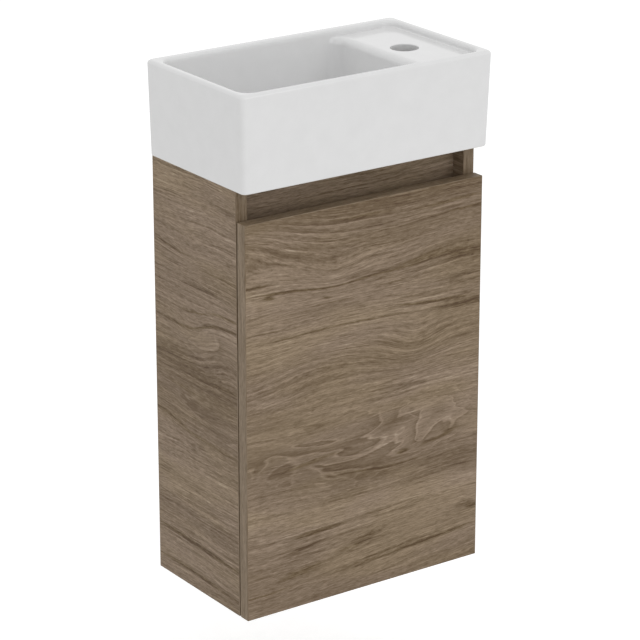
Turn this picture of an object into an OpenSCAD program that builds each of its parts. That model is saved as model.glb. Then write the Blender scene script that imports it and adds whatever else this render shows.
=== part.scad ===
// Wall-hung cloakroom vanity unit: a glazed ceramic basin on a one-door cabinet with a finger
// recess instead of a handle. Millimetres. X runs along the wall, Y points at the wall and Z up.
// The origin is on the wall, in the middle of the four wall screws that carry the cabinet.

/* [Basin] */
// Width of the basin over its rim
basin_w = 365; // [350:1:420]
// Depth of the basin, front to wall
basin_d = 207; // [200:1:240]
// Height of the basin
basin_h = 120; // [110:1:150]
// How much each side of the basin draws in towards its base
side_draft = 3.9; // [0:0.1:6]
// How much the front of the basin draws in towards its base
front_draft = 2.9; // [0:0.1:6]
// Width of the rim at the sides
rim_side_w = 11; // [9.5:0.5:16]
// Width of the rim at the front
rim_front_w = 10; // [9.5:0.5:16]
// Width of the rim at the wall
rim_back_w = 14; // [12:0.5:24]
// Radius of the rim's rounded edges
rim_edge_r = 4.5; // [2:0.1:4.6]
// Radius of the basin's upright outer corners
basin_corner_r = 7; // [5:0.5:14]
// Radius of the basin's bottom edges
base_edge_r = 2; // [0.5:0.1:3]
// Radius of the bowl's upright inner corners
bowl_corner_r = 16; // [10:0.5:25]
// How much the bowl's walls draw in towards its floor
bowl_draft = 4; // [0:0.5:8]
// Radius between the bowl's walls and its floor
floor_fillet_r = 24; // [12:1:30]
// Depth of the bowl from the rim to the edge of its floor
bowl_depth = 84; // [70:1:86]
// Fall of the bowl's floor towards the waste
floor_fall = 4; // [1:0.5:6]
// Thickness of the ceramic
ceramic_t = 9; // [7:0.5:11]
// Drop from the rim to the tap ledge
ledge_drop = 8; // [5:0.5:14]
// Width of the tap ledge
ledge_w = 83; // [70:1:110]
// Radius of the soft edge from the ledge into the bowl
ledge_roll_r = 10; // [4:0.5:14]
// Fall of the tap ledge towards the bowl
ledge_fall = 1; // [0.5:0.1:2]
// Diameter of the tap hole
tap_hole_d = 35; // [28:0.5:36]
// Distance from the tap hole to the basin's side
tap_from_side = 60; // [45:0.5:65]
// Distance from the tap hole to the wall
tap_from_wall = 108; // [60:1:130]
// Diameter of the waste outlet
waste_d = 46; // [40:0.5:48]
// Diameter of the seat that the waste's flange drops into
waste_seat_d = 64; // [58:1:68]
// Depth of the waste's seat
waste_seat_depth = 2.5; // [1:0.5:3]
// Height of the thick ring round the waste, from the bowl's floor down
waste_boss_h = 18; // [12:1:26]
// Distance between the basin's two wall bolts
wall_bolt_spacing = 180; // [120:1:280]
// Diameter of the basin's wall bolt holes
wall_bolt_d = 12; // [8:0.5:16]
// Height of the wall bolt holes over the basin's base
wall_bolt_rise = 14; // [10:0.5:16]

/* [Cabinet] */
// Width of the cabinet
cabinet_w = 350; // [335:1:400]
// Depth of the cabinet with its door
cabinet_d = 200; // [195:1:230]
// Height of the cabinet
cabinet_h = 544; // [500:1:640]
// Thickness of the boards
board_t = 16; // [15:0.5:19]
// Thickness of the edge bands
band_t = 1; // [0.5:0.1:2]
// Height of the finger recess over the door
recess_h = 38; // [30:1:60]
// How far the recess board is set back from the front
fascia_setback = 20; // [16:1:26]
// Height of the recess board
fascia_h = 90; // [80:1:110]
// Height of the rear rails
rail_h = 80; // [60:1:100]
// Distance between the rear rails and the wall
rail_gap = 20; // [14:1:30]
// Height of the shelf's underside over the cabinet's base
shelf_rise = 268; // [200:1:330]
// Distance between the shelf and the cabinet's front edges
shelf_setback = 24; // [20:1:60]
// Clearance at each end of the shelf
shelf_play = 1; // [0.5:0.1:2]

/* [Door] */
// Gap between the door and the cabinet
door_gap = 2; // [1.8:0.1:3]
// Distance from the door's ends to the hinges
hinge_inset = 90; // [70:1:130]
// Diameter of the rubber bumpers
bumper_d = 8; // [6:0.5:10]

/* [Hinge] */
// Diameter of the hinge cup
cup_d = 35; // [35:0.5:36]
// Depth of the hinge cup
cup_depth = 12; // [11.8:0.1:12.6]
// Distance between the cup and the door's edge
cup_edge = 5; // [4:0.5:6]
// Thickness of the cup's flange
cup_flange_t = 1; // [0.8:0.1:1.2]
// Diameter of the pivot pins
pin_d = 2.6; // [2:0.1:3]
// Radial play of a pin in its hole
pin_play = 0.05; // [0.02:0.01:0.1]
// Thickness of the pressed steel
steel_t = 1.4; // [1:0.1:1.5]
// Gap beside each moving layer of the hinge
layer_gap = 0.3; // [0.3:0.05:0.4]
// Thickness of the inner link
inner_link_t = 5.2; // [4:0.1:5.6]
// Height of the arm over the side board
arm_h = 13; // [12:0.1:15]
// Distance from the front edge to the row of plate screws
plate_setback = 37; // [37:0.5:40]
// Distance between the two screws of a mounting plate
plate_screw_spacing = 32; // [32:0.5:36]

/* [Wall hanger] */
// Height of the cabinet's top over the middle of the wall screws
hanger_drop = 70; // [66:1:90]
// Distance between the upper and lower wall screws of one plate
wall_screw_rise = 24; // [20:0.5:28]
// Diameter of the wall screw holes
wall_screw_d = 6.5; // [5:0.5:8]
// Thickness of the wall plate
wall_plate_t = 2.5; // [2:0.1:3]
// Width of the wall plate
wall_plate_w = 34; // [30:1:40]
// Width of the hook
hook_w = 8; // [6:0.5:10]
// Height of the hook's shank
hook_h = 10; // [8:0.5:12]

/* [Fasteners] */
// Diameter of the cam locks
cam_d = 15; // [12:0.5:15]
// Depth of the cam locks
cam_depth = 12.5; // [11:0.5:13]
// Distance from a board's end to its cam locks
cam_reach = 34; // [30:0.5:36]
// Diameter of the wooden dowels
dowel_d = 8; // [6:0.5:8]
// Length of the wooden dowels
dowel_len = 30; // [24:1:36]
// Diameter of the shelf pins
shelf_pin_d = 5; // [4:0.5:6]

/* [Hidden] */
round_fn = 64;
eps = 0.01;
fit_play = 0.05;

// Colours
ceramic_white = [0.95, 0.95, 0.94];
walnut = [0.49, 0.42, 0.35];
walnut_dark = [0.42, 0.35, 0.29];
zinc = [0.72, 0.72, 0.74];
steel = [0.62, 0.63, 0.65];
nylon_grey = [0.75, 0.75, 0.73];
beech = [0.8, 0.66, 0.46];
rubber_clear = [0.85, 0.86, 0.86];

// Main planes of the cabinet
carcass_top = hanger_drop;
carcass_base = carcass_top - cabinet_h;
carcass_d = cabinet_d - board_t - door_gap;
carcass_front = -carcass_d;
side_out = cabinet_w / 2;
side_in = side_out - board_t;
door_in = carcass_front - door_gap;
door_out = door_in - board_t;
door_top = carcass_top - recess_h;
fascia_front = carcass_front + fascia_setback;
fascia_back = fascia_front + board_t;
rail_back = -rail_gap;
rail_front = rail_back - board_t;
shelf_base = carcass_base + shelf_rise;
hinge_zs = [carcass_base + hinge_inset, door_top - hinge_inset];

// Basin, measured from its own base
basin_z = carcass_top;
base_half = basin_w / 2 - side_draft;
base_front = -(basin_d - front_draft);
bowl_floor = basin_h - bowl_depth;
waste_floor = bowl_floor - floor_fall;
ledge_z = basin_h - ledge_drop;
rim_in_x = basin_w / 2 - rim_side_w;
rim_in_front = -(basin_d - rim_front_w);
rim_in_back = -rim_back_w;
ledge_x = rim_in_x - ledge_w;
waste_x = (ledge_x - rim_in_x) / 2;
waste_y = (rim_in_front + rim_in_back) / 2;
waste_boss_r = waste_seat_d / 2 + 4;
tap_x = basin_w / 2 - tap_from_side;
hollow_top = ledge_z - ledge_fall - ceramic_t;
hollow_over = 5;
ledge_foot_r = 2;
rim_over = 2;
bolt_reach = 40;
arc_steps = 6;
corner_steps = 6;

// Concealed hinge, in its own plane: u runs from the side board's inner face into the opening,
// v runs from the side board's front edge into the cabinet
door_edge_u = -board_t;
cup_u = door_edge_u + cup_edge + cup_d / 2;
pin_r = pin_d / 2;
pin_hole_r = pin_r + pin_play;
outer_arm_pivot = [16, 11];
inner_arm_pivot = [9.8, 1];
outer_cup_pivot = [cup_u - 12.9, -door_gap - 2];
inner_cup_pivot = [cup_u - 11.9, -door_gap - 7.8];
slot_travel = 2.7;
slot_angle = 232;
slot_half_w = pin_r + 0.4;
slot_end = inner_arm_pivot + slot_travel * [cos(slot_angle), sin(slot_angle)];
inner_half = inner_link_t / 2;
arm_in = inner_half + layer_gap;
arm_out = arm_in + steel_t;
link_in = arm_out + layer_gap;
link_out = link_in + steel_t;
ear_in = link_out + layer_gap;
body_out = ear_in + 0.7;
block_half = body_out - steel_t - 0.3;
pin_head_t = 0.6;
arm_start = outer_arm_pivot[1] + 7;
arm_web_start = arm_start + 9;
arm_end = plate_setback + 25;
arm_low = 3.4;
arm_nose_r = 3;
arm_flare = 2.6;
plate_t = 3;
plate_lug_r = 7.5;
plate_screw_r = 2.5;
plate_screw_len = 12.4;
plate_head_r = 4;
plate_head_t = 2;
plate_head_sink = 1.6;
arm_screw_r = 2;
arm_screw_start = 5;
arm_head_r = 3.4;
arm_head_t = 1.8;
side_screw_v = plate_setback - 5;
back_screw_v = plate_setback + 13;
pin_collar = 0.9;
wrap_r = 5.6;
wrap_t = 1.2;
wrap_start = -72;
wrap_end = 10;
outer_eye_r = 2.1;
inner_eye_r = 2.4;
link_waist_r = 1.5;
cup_screw_u = 6;
cup_screw_z = 24;
cup_screw_r = 1.75;
cup_screw_len = 10.5;
cup_head_r = 3.4;
cup_head_t = 1.5;
cup_lug_r = 6;
pin_in_cup = 1.8;
pocket_r = cup_d / 2 - 0.6;
pocket_floor = cup_depth - 1;

// Cabinet hanger
wall_plate_x = side_in - 1 - wall_plate_w / 2;
wall_plate_foot = wall_screw_rise / 2 + 10;
lip_step = wall_screw_rise / 2 + 10;
lip_out = 7;
lip_h = 12;
lip_top = lip_step + wall_plate_t + lip_h;
hook_x = side_in - 9;
hook_tip_t = lip_out - wall_plate_t - 0.8;
housing_w = 18;
housing_d = 50;
housing_h = 52;
housing_wall = 2.2;
housing_base = lip_top - 26;
housing_back = rail_front;
housing_front = housing_back - housing_d;
notch_w = housing_w + 2;
notch_base = lip_top - 6;
notch_top = lip_top + hook_h + 6;
guide_front = housing_front + 18;
chamber_front = housing_front + 22;
hook_play = 0.4;
hook_back = -wall_plate_t - hook_play;
hook_base = lip_top;
depth_screw_z = hook_base + hook_h / 2;
height_screw_z = hook_base + hook_h + 10;
adjust_screw_r = 2.5;
adjust_head_r = 3;
adjust_head_t = 2.5;
adjust_play = 0.2;
adjust_sink = 1;
fixing_screw_r = 1.75;
fixing_screw_len = 16;
fixing_head_r = 3.8;
fixing_head_t = 2.5;
fixing_land = 4;
hanger_fixing_y = housing_front + 10;
hanger_fixing_zs = [housing_base + 6, housing_base + 20];
top_rail_joint = [(carcass_top - rail_h + notch_base) / 2, (notch_top + carcass_top) / 2];

// Places and sizes of the cam locks, cam bolts, dowels and shelf pins
bottom_cam_ys = [-carcass_d + 50, -50];
bottom_dowel_ys = [-carcass_d + 22, -22];
low_rail_joint = [24, 56];
fascia_cam_rise = 28;
fascia_dowel_rise = 62;
bolt_shank_d = 5;
bolt_body_d = 7;
bolt_in_side = 11;
bolt_neck_r = 2;
bolt_neck_len = 5;
bolt_head_len = 3;
hole_spare = 0.5;
cam_bore_r = 4.5;
cam_drive_span = 8;
cam_drive_depth = 3;
cam_drive_w = 1.6;
bolt_play = 0.25;
dowel_in_side = 10;
shelf_pin_in = 8;
shelf_pin_out = 9;
shelf_pin_pitch = 32;
shelf_pin_flange_t = 1.5;
shelf_pin_flange_grow = 1;
shelf_pin_flange_drop = 1.3;
shelf_pin_ys = [carcass_front + shelf_setback + 30, rail_front - 30];

// Cross recess of a screw's head
drive_w = 0.9;
drive_depth = 1.1;
drive_share = 0.65;
head_dome = 0.7;

// Middles of the boards, and the joints along them
bottom_mid = carcass_base + board_t / 2;
fascia_mid = fascia_front + board_t / 2;
rail_mid = rail_front + board_t / 2;
fascia_base = carcass_top - fascia_h;
top_rail_base = carcass_top - rail_h;
bottom_rail_base = carcass_base + board_t;
rail_joints = [
  top_rail_joint,
  [bottom_rail_base + low_rail_joint[0], bottom_rail_base + low_rail_joint[1]]
];

// Points of a rounded rectangle at one height: [z, x0, x1, y0, y1, corner radius]
function ring(s, n) = [
  for (k = [0:3])
    let (
      cx = (k == 0 || k == 3) ? s[2] - s[5] : s[1] + s[5],
      cy = (k == 0 || k == 1) ? s[4] - s[5] : s[3] + s[5]
    )
    for (i = [0:n]) [cx + s[5] * cos(90 * (k + i / n)), cy + s[5] * sin(90 * (k + i / n)), s[0]]
];

// A closed skin through rounded rectangles that are stacked from the lowest up
module loft(sections, n = corner_steps) {
  m = 4 * (n + 1);
  last = len(sections) - 1;
  polyhedron(
    points = [for (s = sections) each ring(s, n)],
    faces = [
      [for (i = [0:m - 1]) i],
      [for (i = [m - 1:-1:0]) last * m + i],
      for (k = [0:last - 1])
        for (i = [0:m - 1])
          let (a = k * m + i, b = k * m + (i + 1) % m)
          each [[a, a + m, b + m], [a, b + m, b]]
    ],
    convexity = 6
  );
}

// Outline of two discs joined by their outer tangents
function strap(a, ra, b, rb, n = 10) =
  let (
    d = norm(b - a),
    dir = atan2(b[1] - a[1], b[0] - a[0]),
    open = acos((ra - rb) / d)
  )
  [
    for (i = [0:n]) let (t = dir - open + 2 * open * i / n) b + rb * [cos(t), sin(t)],
    for (i = [0:n]) let (t = dir + open + (360 - 2 * open) * i / n) a + ra * [cos(t), sin(t)]
  ];

module board(x0, x1, y0, y1, z0, z1) {
  translate([x0, y0, z0])
    cube([x1 - x0, y1 - y0, z1 - z0]);
}

// A rod along X, from x0 to x1
module rod_x(x0, x1, y, z, r) {
  translate([min(x0, x1), y, z])
    rotate([0, 90, 0])
      cylinder(h = abs(x1 - x0), r = r, $fn = round_fn);
}

// A rod along Y, from y0 to y1
module rod_y(x, y0, y1, z, r) {
  translate([x, max(y0, y1), z])
    rotate([90, 0, 0])
      cylinder(h = abs(y1 - y0), r = r, $fn = round_fn);
}

module rod_z(x, y, z0, z1, r) {
  translate([x, y, min(z0, z1)])
    cylinder(h = abs(z1 - z0), r = r, $fn = round_fn);
}

// A screw along Z: the top of its domed head at the origin, then its shank
module screw(shank_r, shank_len, head_r, head_t) {
  difference() {
    union() {
      cylinder(h = head_t, r1 = head_r - head_dome, r2 = head_r, $fn = round_fn);
      translate([0, 0, head_t])
        cylinder(h = shank_len, r = shank_r, $fn = round_fn);
    }
    drive(2 * drive_share * head_r, drive_depth);
  }
}

// The cross recess that a screwdriver turns
module drive(span, depth, w = drive_w) {
  for (a = [0, 90])
    rotate([0, 0, a])
      cube([span, w, 2 * depth], center = true);
}

// Basin

// Share of the draft that is left at a height: none from the rim's rounding up
function lean(z) = max(0, 1 - z / (basin_h - rim_edge_r));

// Outer faces at a height, with their draft and an inset
function shell_ring(z, inset, r) = [
  z, -basin_w / 2 + side_draft * lean(z) + inset, basin_w / 2 - side_draft * lean(z) - inset,
  -basin_d + front_draft * lean(z) + inset, -inset, r
];

module basin_block() {
  loft([
    for (i = [0:3])
      let (t = 30 * i)
      shell_ring(base_edge_r * (1 - cos(t)), base_edge_r * (1 - sin(t)), basin_corner_r - 1),
    for (i = [0:arc_steps])
      let (t = 90 * i / arc_steps, inset = rim_edge_r * (1 - cos(t)))
      shell_ring(basin_h - rim_edge_r * (1 - sin(t)), inset, basin_corner_r - inset / 2)
  ]);
}

// Inner faces of the bowl at a height, grown by g: the draft runs from the rim to the floor
function bowl_x0(z, g) = -rim_in_x + bowl_draft * (basin_h - z) / bowl_depth - g;
function bowl_y0(z, g) = rim_in_front + bowl_draft * (basin_h - z) / bowl_depth - g;
function bowl_y1(z, g) = rim_in_back - bowl_draft * (basin_h - z) / bowl_depth + g;
function bowl_x1(z, g) = ledge_x - bowl_draft * (basin_h - z) / bowl_depth + g;
function bowl_ring(z, inset, g, r) = [
  z, bowl_x0(z, g) + inset, bowl_x1(z, g) - inset, bowl_y0(z, g) + inset, bowl_y1(z, g) - inset, r
];

// The fall of the floor and the rounding up into the walls, grown by g
function bowl_bottom(g) = [
  [
    waste_floor - g, waste_x - waste_boss_r - g / 2, waste_x + waste_boss_r + g / 2,
    waste_y - waste_boss_r - g / 2, waste_y + waste_boss_r + g / 2, waste_boss_r - 4
  ],
  for (i = [0:arc_steps])
    let (t = 90 * i / arc_steps, r = floor_fillet_r + g)
    bowl_ring(bowl_floor - g + r * (1 - cos(t)), r * (1 - sin(t)), g, bowl_corner_r + g / 2)
];

// The bowl, the recess over the ledge and the rounded inner edge of the rim, as one cavity
module basin_cavity() {
  roll_base = ledge_z - ledge_fall - ledge_roll_r;
  loft(concat(
    bowl_bottom(0),
    [
      for (i = [0:arc_steps])
        let (t = 90 * i / arc_steps, z = roll_base + ledge_roll_r * sin(t))
        [
          z, bowl_x0(z, 0), bowl_x1(z, 0) + ledge_roll_r * (1 - cos(t)),
          bowl_y0(z, 0), bowl_y1(z, 0), bowl_corner_r
        ]
    ],
    [
      for (i = [0:arc_steps])
        let (t = 90 * i / arc_steps, z = ledge_z + ledge_foot_r * (1 - cos(t)))
        [
          z, bowl_x0(z, 0), rim_in_x - ledge_foot_r * (1 - sin(t)),
          bowl_y0(z, 0), bowl_y1(z, 0), bowl_corner_r
        ]
    ],
    [
      for (i = [0:arc_steps])
        let (t = 90 * i / arc_steps, z = basin_h - rim_edge_r * (1 - sin(t)), w = rim_edge_r * (1 - cos(t)))
        [z, -rim_in_x - w, rim_in_x + w, rim_in_front - w, rim_in_back + w, bowl_corner_r + w],
      [
        basin_h + rim_over, -rim_in_x - rim_edge_r, rim_in_x + rim_edge_r,
        rim_in_front - rim_edge_r, rim_in_back + rim_edge_r, bowl_corner_r + rim_edge_r
      ]
    ]
  ));
}

// The open underside, less the outer skin of the bowl and the thick ring round the waste
module basin_hollow() {
  difference() {
    loft([
      for (z = [-1, hollow_top])
        let (in = ceramic_t)
        [
          z, -base_half + in, base_half + side_draft * z / basin_h - in,
          base_front + in, -rim_back_w + 1, basin_corner_r
        ]
    ]);
    loft(concat(
      bowl_bottom(ceramic_t),
      [bowl_ring(hollow_top + hollow_over, 0, ceramic_t, bowl_corner_r + ceramic_t / 2)]
    ));
    rod_z(waste_x, waste_y, waste_floor - waste_boss_h, bowl_floor, waste_boss_r);
  }
}

module basin() {
  color(ceramic_white)
    translate([0, 0, basin_z])
      difference() {
        basin_block();
        basin_cavity();
        basin_hollow();
        rod_z(tap_x, -tap_from_wall, hollow_top - hollow_over, basin_h, tap_hole_d / 2);
        rod_z(waste_x, waste_y, -5, bowl_floor, waste_d / 2);
        rod_z(waste_x, waste_y, waste_floor - waste_seat_depth, bowl_floor, waste_seat_d / 2);
        for (side = [-1, 1])
          rod_y(
            side * wall_bolt_spacing / 2, 1, -rim_back_w - bolt_reach,
            wall_bolt_rise, wall_bolt_d / 2
          );
      }
}

// Cabinet boards

// Cam bolts, dowels and cams of one end of a board, as holes or as pieces
module side_joint_holes(y, z, dowel_y, dowel_z) {
  rod_x(side_in + bolt_in_side + hole_spare, side_in - 1, y, z, bolt_shank_d / 2 + fit_play);
  rod_x(side_in + dowel_in_side + hole_spare, side_in - 1, dowel_y, dowel_z, dowel_d / 2 + fit_play);
}

module bottom_side_holes() {
  for (i = [0, 1])
    side_joint_holes(bottom_cam_ys[i], bottom_mid, bottom_dowel_ys[i], bottom_mid);
}

module upright_side_holes() {
  side_joint_holes(fascia_mid, fascia_base + fascia_cam_rise, fascia_mid, fascia_base + fascia_dowel_rise);
  for (z = rail_joints)
    side_joint_holes(rail_mid, z[0], rail_mid, z[1]);
}

module side_panel() {
  difference() {
    board(side_in, side_out, carcass_front + band_t, 0, carcass_base + band_t, carcass_top);
    bottom_side_holes();
    upright_side_holes();
    for (y = shelf_pin_ys)
      for (k = [-1:1])
        rod_x(
          side_in + shelf_pin_in + 1, side_in - 1, y,
          shelf_base - shelf_pin_d / 2 + k * shelf_pin_pitch, shelf_pin_d / 2 + fit_play
        );
    for (z = hanger_fixing_zs)
      rod_x(
        side_in - fixing_land + fixing_screw_len + hole_spare, side_in - 1,
        hanger_fixing_y, z, fixing_screw_r + fit_play
      );
  }
}

module left_panel() {
  color(walnut)
    mirror([1, 0, 0])
      side_panel();
}

module right_panel() {
  color(walnut)
    difference() {
      side_panel();
      for (z = hinge_zs)
        for (s = [-1, 1])
          rod_x(
            side_in + plate_screw_len - plate_t + plate_head_sink + hole_spare, side_in - 1,
            carcass_front + plate_setback, z + s * plate_screw_spacing / 2, plate_screw_r + fit_play
          );
    }
}

// Holes in the two ends of a board that lies between the sides: the cam lock opens towards
// the face given by cam_face, which is the place of that face along the axis named by flat
module end_joint(y, z, dowel_y, dowel_z, flat, cam_face, cam_dir) {
  for (s = [0, 1])
    mirror([s, 0, 0]) {
      rod_x(side_in + 1, side_in - cam_reach, y, z, bolt_body_d / 2 + bolt_play);
      rod_x(
        side_in + 1, side_in - (dowel_len - dowel_in_side) - hole_spare,
        dowel_y, dowel_z, dowel_d / 2 + fit_play
      );
      if (flat)
        rod_z(
          side_in - cam_reach, y, cam_face - cam_dir,
          cam_face + cam_dir * cam_depth, cam_d / 2 + fit_play
        );
      else
        rod_y(
          side_in - cam_reach, cam_face - cam_dir,
          cam_face + cam_dir * cam_depth, z, cam_d / 2 + fit_play
        );
    }
}

module bottom_panel() {
  color(walnut)
    difference() {
      board(-side_in, side_in, carcass_front + band_t, 0, carcass_base, carcass_base + board_t);
      for (i = [0, 1])
        end_joint(bottom_cam_ys[i], bottom_mid, bottom_dowel_ys[i], bottom_mid, true, carcass_base, 1);
    }
}

module recess_fascia() {
  color(walnut_dark)
    difference() {
      board(-side_in, side_in, fascia_front, fascia_back, fascia_base, carcass_top);
      end_joint(
        fascia_mid, fascia_base + fascia_cam_rise, fascia_mid, fascia_base + fascia_dowel_rise,
        false, fascia_back, -1
      );
    }
}

module rail(base, joint) {
  difference() {
    board(-side_in, side_in, rail_front, rail_back, base, base + rail_h);
    end_joint(rail_mid, joint[0], rail_mid, joint[1], false, rail_back, -1);
  }
}

module rear_top_rail() {
  color(walnut)
    difference() {
      rail(top_rail_base, top_rail_joint);
      for (s = [0, 1])
        mirror([s, 0, 0])
          board(side_in - notch_w, side_in + 1, rail_front - 1, rail_back + 1, notch_base, notch_top);
    }
}

module rear_bottom_rail() {
  color(walnut)
    rail(bottom_rail_base, rail_joints[1]);
}

module shelf() {
  color(walnut)
    board(
      -side_in + shelf_play, side_in - shelf_play, carcass_front + shelf_setback + band_t,
      rail_front - 2, shelf_base, shelf_base + board_t
    );
}

module shelf_pins() {
  color(zinc)
    for (s = [0, 1])
      mirror([s, 0, 0])
        for (y = shelf_pin_ys) {
          rod_x(side_in + shelf_pin_in, side_in, y, shelf_base - shelf_pin_d / 2, shelf_pin_d / 2);
          rod_x(
            side_in, side_in - shelf_pin_flange_t, y,
            shelf_base - shelf_pin_d / 2 - shelf_pin_flange_drop, shelf_pin_d / 2 + shelf_pin_flange_grow
          );
          rod_x(
            side_in - shelf_pin_flange_t, side_in - shelf_pin_out, y,
            shelf_base - shelf_pin_d / 2, shelf_pin_d / 2
          );
        }
}

module carcass_edge_bands() {
  color(walnut) {
    for (s = [0, 1])
      mirror([s, 0, 0]) {
        board(side_in, side_out, carcass_front, carcass_front + band_t, carcass_base, carcass_top);
        board(side_in, side_out, carcass_front + band_t, 0, carcass_base, carcass_base + band_t);
      }
    board(-side_in, side_in, carcass_front, carcass_front + band_t, carcass_base, carcass_base + board_t);
    board(
      -side_in + shelf_play, side_in - shelf_play, carcass_front + shelf_setback,
      carcass_front + shelf_setback + band_t, shelf_base, shelf_base + board_t
    );
  }
}

// Fasteners that join the boards

module cam() {
  difference() {
    cylinder(h = cam_depth - hole_spare, r = cam_d / 2, $fn = round_fn);
    drive(cam_drive_span, cam_drive_depth, cam_drive_w);
    translate([0, 0, board_t / 2])
      rotate([0, 90, 0])
        cylinder(h = cam_d, r = bolt_body_d / 2 + bolt_play, $fn = round_fn);
    translate([0, 0, board_t / 2])
      cylinder(h = cam_depth, r = cam_bore_r, $fn = round_fn);
  }
}

module cam_locks() {
  color(zinc)
    for (s = [0, 1])
      mirror([s, 0, 0]) {
        for (y = bottom_cam_ys)
          translate([side_in - cam_reach, y, carcass_base])
            cam();
        translate([side_in - cam_reach, fascia_back, fascia_base + fascia_cam_rise])
          rotate([90, 0, 0])
            cam();
        for (z = rail_joints)
          translate([side_in - cam_reach, rail_back, z[0]])
            rotate([90, 0, 0])
              cam();
      }
}

module cam_bolt(y, z) {
  head_x = side_in - cam_reach + bolt_head_len;
  neck_x = head_x + bolt_neck_len;
  rod_x(side_in + bolt_in_side, side_in, y, z, bolt_shank_d / 2);
  rod_x(side_in, neck_x, y, z, bolt_body_d / 2);
  rod_x(neck_x, head_x, y, z, bolt_neck_r);
  rod_x(head_x, side_in - cam_reach, y, z, bolt_body_d / 2);
}

module cam_bolts() {
  color(steel)
    for (s = [0, 1])
      mirror([s, 0, 0]) {
        for (y = bottom_cam_ys)
          cam_bolt(y, bottom_mid);
        cam_bolt(fascia_mid, fascia_base + fascia_cam_rise);
        for (z = rail_joints)
          cam_bolt(rail_mid, z[0]);
      }
}

module dowel(y, z) {
  rod_x(side_in + dowel_in_side, side_in + dowel_in_side - dowel_len, y, z, dowel_d / 2);
}

module wood_dowels() {
  color(beech)
    for (s = [0, 1])
      mirror([s, 0, 0]) {
        for (y = bottom_dowel_ys)
          dowel(y, bottom_mid);
        dowel(fascia_mid, fascia_base + fascia_dowel_rise);
        for (z = rail_joints)
          dowel(rail_mid, z[1]);
      }
}

// Cabinet hangers

module hanger_housings() {
  color(nylon_grey)
    for (s = [0, 1])
      mirror([s, 0, 0])
        difference() {
          board(
            side_in - housing_w, side_in, housing_front, housing_back,
            housing_base, housing_base + housing_h
          );
          board(
            side_in - housing_w + housing_wall, side_in - housing_wall,
            chamber_front, housing_back + 1,
            housing_base + housing_wall, housing_base + housing_h - housing_wall
          );
          board(
            hook_x - hook_w / 2 - hook_play, hook_x + hook_w / 2 + hook_play, guide_front,
            housing_back, hook_base - hook_play, hook_base + hook_h + hook_play
          );
          for (z = [depth_screw_z, height_screw_z])
            rod_y(hook_x, housing_front - 1, chamber_front + 2, z, adjust_head_r + adjust_play);
          for (z = hanger_fixing_zs) {
            rod_x(side_in + 1, side_in - housing_w - 1, hanger_fixing_y, z, fixing_screw_r + hook_play);
            rod_x(
              side_in - fixing_land, side_in - housing_w - 1,
              hanger_fixing_y, z, fixing_head_r + hook_play
            );
          }
        }
}

module hanger_hooks() {
  color(steel)
    for (s = [0, 1])
      mirror([s, 0, 0])
        difference() {
          union() {
            board(
              hook_x - hook_w / 2, hook_x + hook_w / 2, guide_front + hook_play,
              hook_back, hook_base, hook_base + hook_h
            );
            board(
              hook_x - hook_w / 2, hook_x + hook_w / 2, hook_back - hook_tip_t,
              hook_back, hook_base - lip_h + 3, hook_base + eps
            );
          }
          rod_y(
            hook_x, guide_front - 1, guide_front + 12,
            depth_screw_z, adjust_screw_r + 2 * fit_play
          );
        }
}

module adjusting_screw(z, len) {
  translate([hook_x, housing_front + adjust_sink - adjust_head_t, z])
    rotate([-90, 0, 0])
      screw(adjust_screw_r, len, adjust_head_r, adjust_head_t);
}

module hanger_adjusting_screws() {
  color(zinc)
    for (s = [0, 1])
      mirror([s, 0, 0]) {
        adjusting_screw(depth_screw_z, 24);
        adjusting_screw(height_screw_z, 30);
      }
}

module hanger_fixing_screws() {
  color(zinc)
    for (s = [0, 1])
      mirror([s, 0, 0])
        for (z = hanger_fixing_zs)
          translate([side_in - fixing_land - fixing_head_t, hanger_fixing_y, z])
            rotate([0, 90, 0])
              screw(fixing_screw_r, fixing_screw_len, fixing_head_r, fixing_head_t);
}

module wall_plates() {
  color(steel)
    for (s = [0, 1])
      mirror([s, 0, 0])
        difference() {
          union() {
            board(
              wall_plate_x - wall_plate_w / 2, wall_plate_x + wall_plate_w / 2,
              -wall_plate_t, 0, -wall_plate_foot, lip_step + wall_plate_t
            );
            board(
              wall_plate_x - wall_plate_w / 2, wall_plate_x + wall_plate_w / 2,
              -lip_out - wall_plate_t, -wall_plate_t, lip_step, lip_step + wall_plate_t
            );
            board(
              wall_plate_x - wall_plate_w / 2, wall_plate_x + wall_plate_w / 2,
              -lip_out - wall_plate_t, -lip_out, lip_step, lip_top
            );
          }
          for (z = [-wall_screw_rise / 2, wall_screw_rise / 2])
            rod_y(wall_plate_x, -wall_plate_t - 1, 1, z, wall_screw_d / 2);
        }
}

// Concealed hinges

// Puts a piece that is drawn in the hinge's own plane (u, v, z) on the right-hand side board
module at_hinges() {
  for (z = hinge_zs)
    translate([side_in, carcass_front, z])
      mirror([1, 0, 0])
        children();
}

// A flat layer of the hinge between two heights, on both sides of the middle plane
module twin_layer(z0, z1) {
  for (s = [0, 1])
    mirror([0, 0, s])
      translate([0, 0, z0])
        linear_extrude(height = z1 - z0)
          children();
}

module middle_layer(half) {
  translate([0, 0, -half])
    linear_extrude(height = 2 * half)
      children();
}

// A rod along u, from u0 to u1, in the hinge's own plane
module rod_u(u0, u1, v, z, r) {
  translate([min(u0, u1), v, z])
    rotate([0, 90, 0])
      cylinder(h = abs(u1 - u0), r = r, $fn = round_fn);
}

module pivot_hole(p, r = pin_hole_r) {
  translate(p)
    circle(r = r, $fn = round_fn);
}

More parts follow.
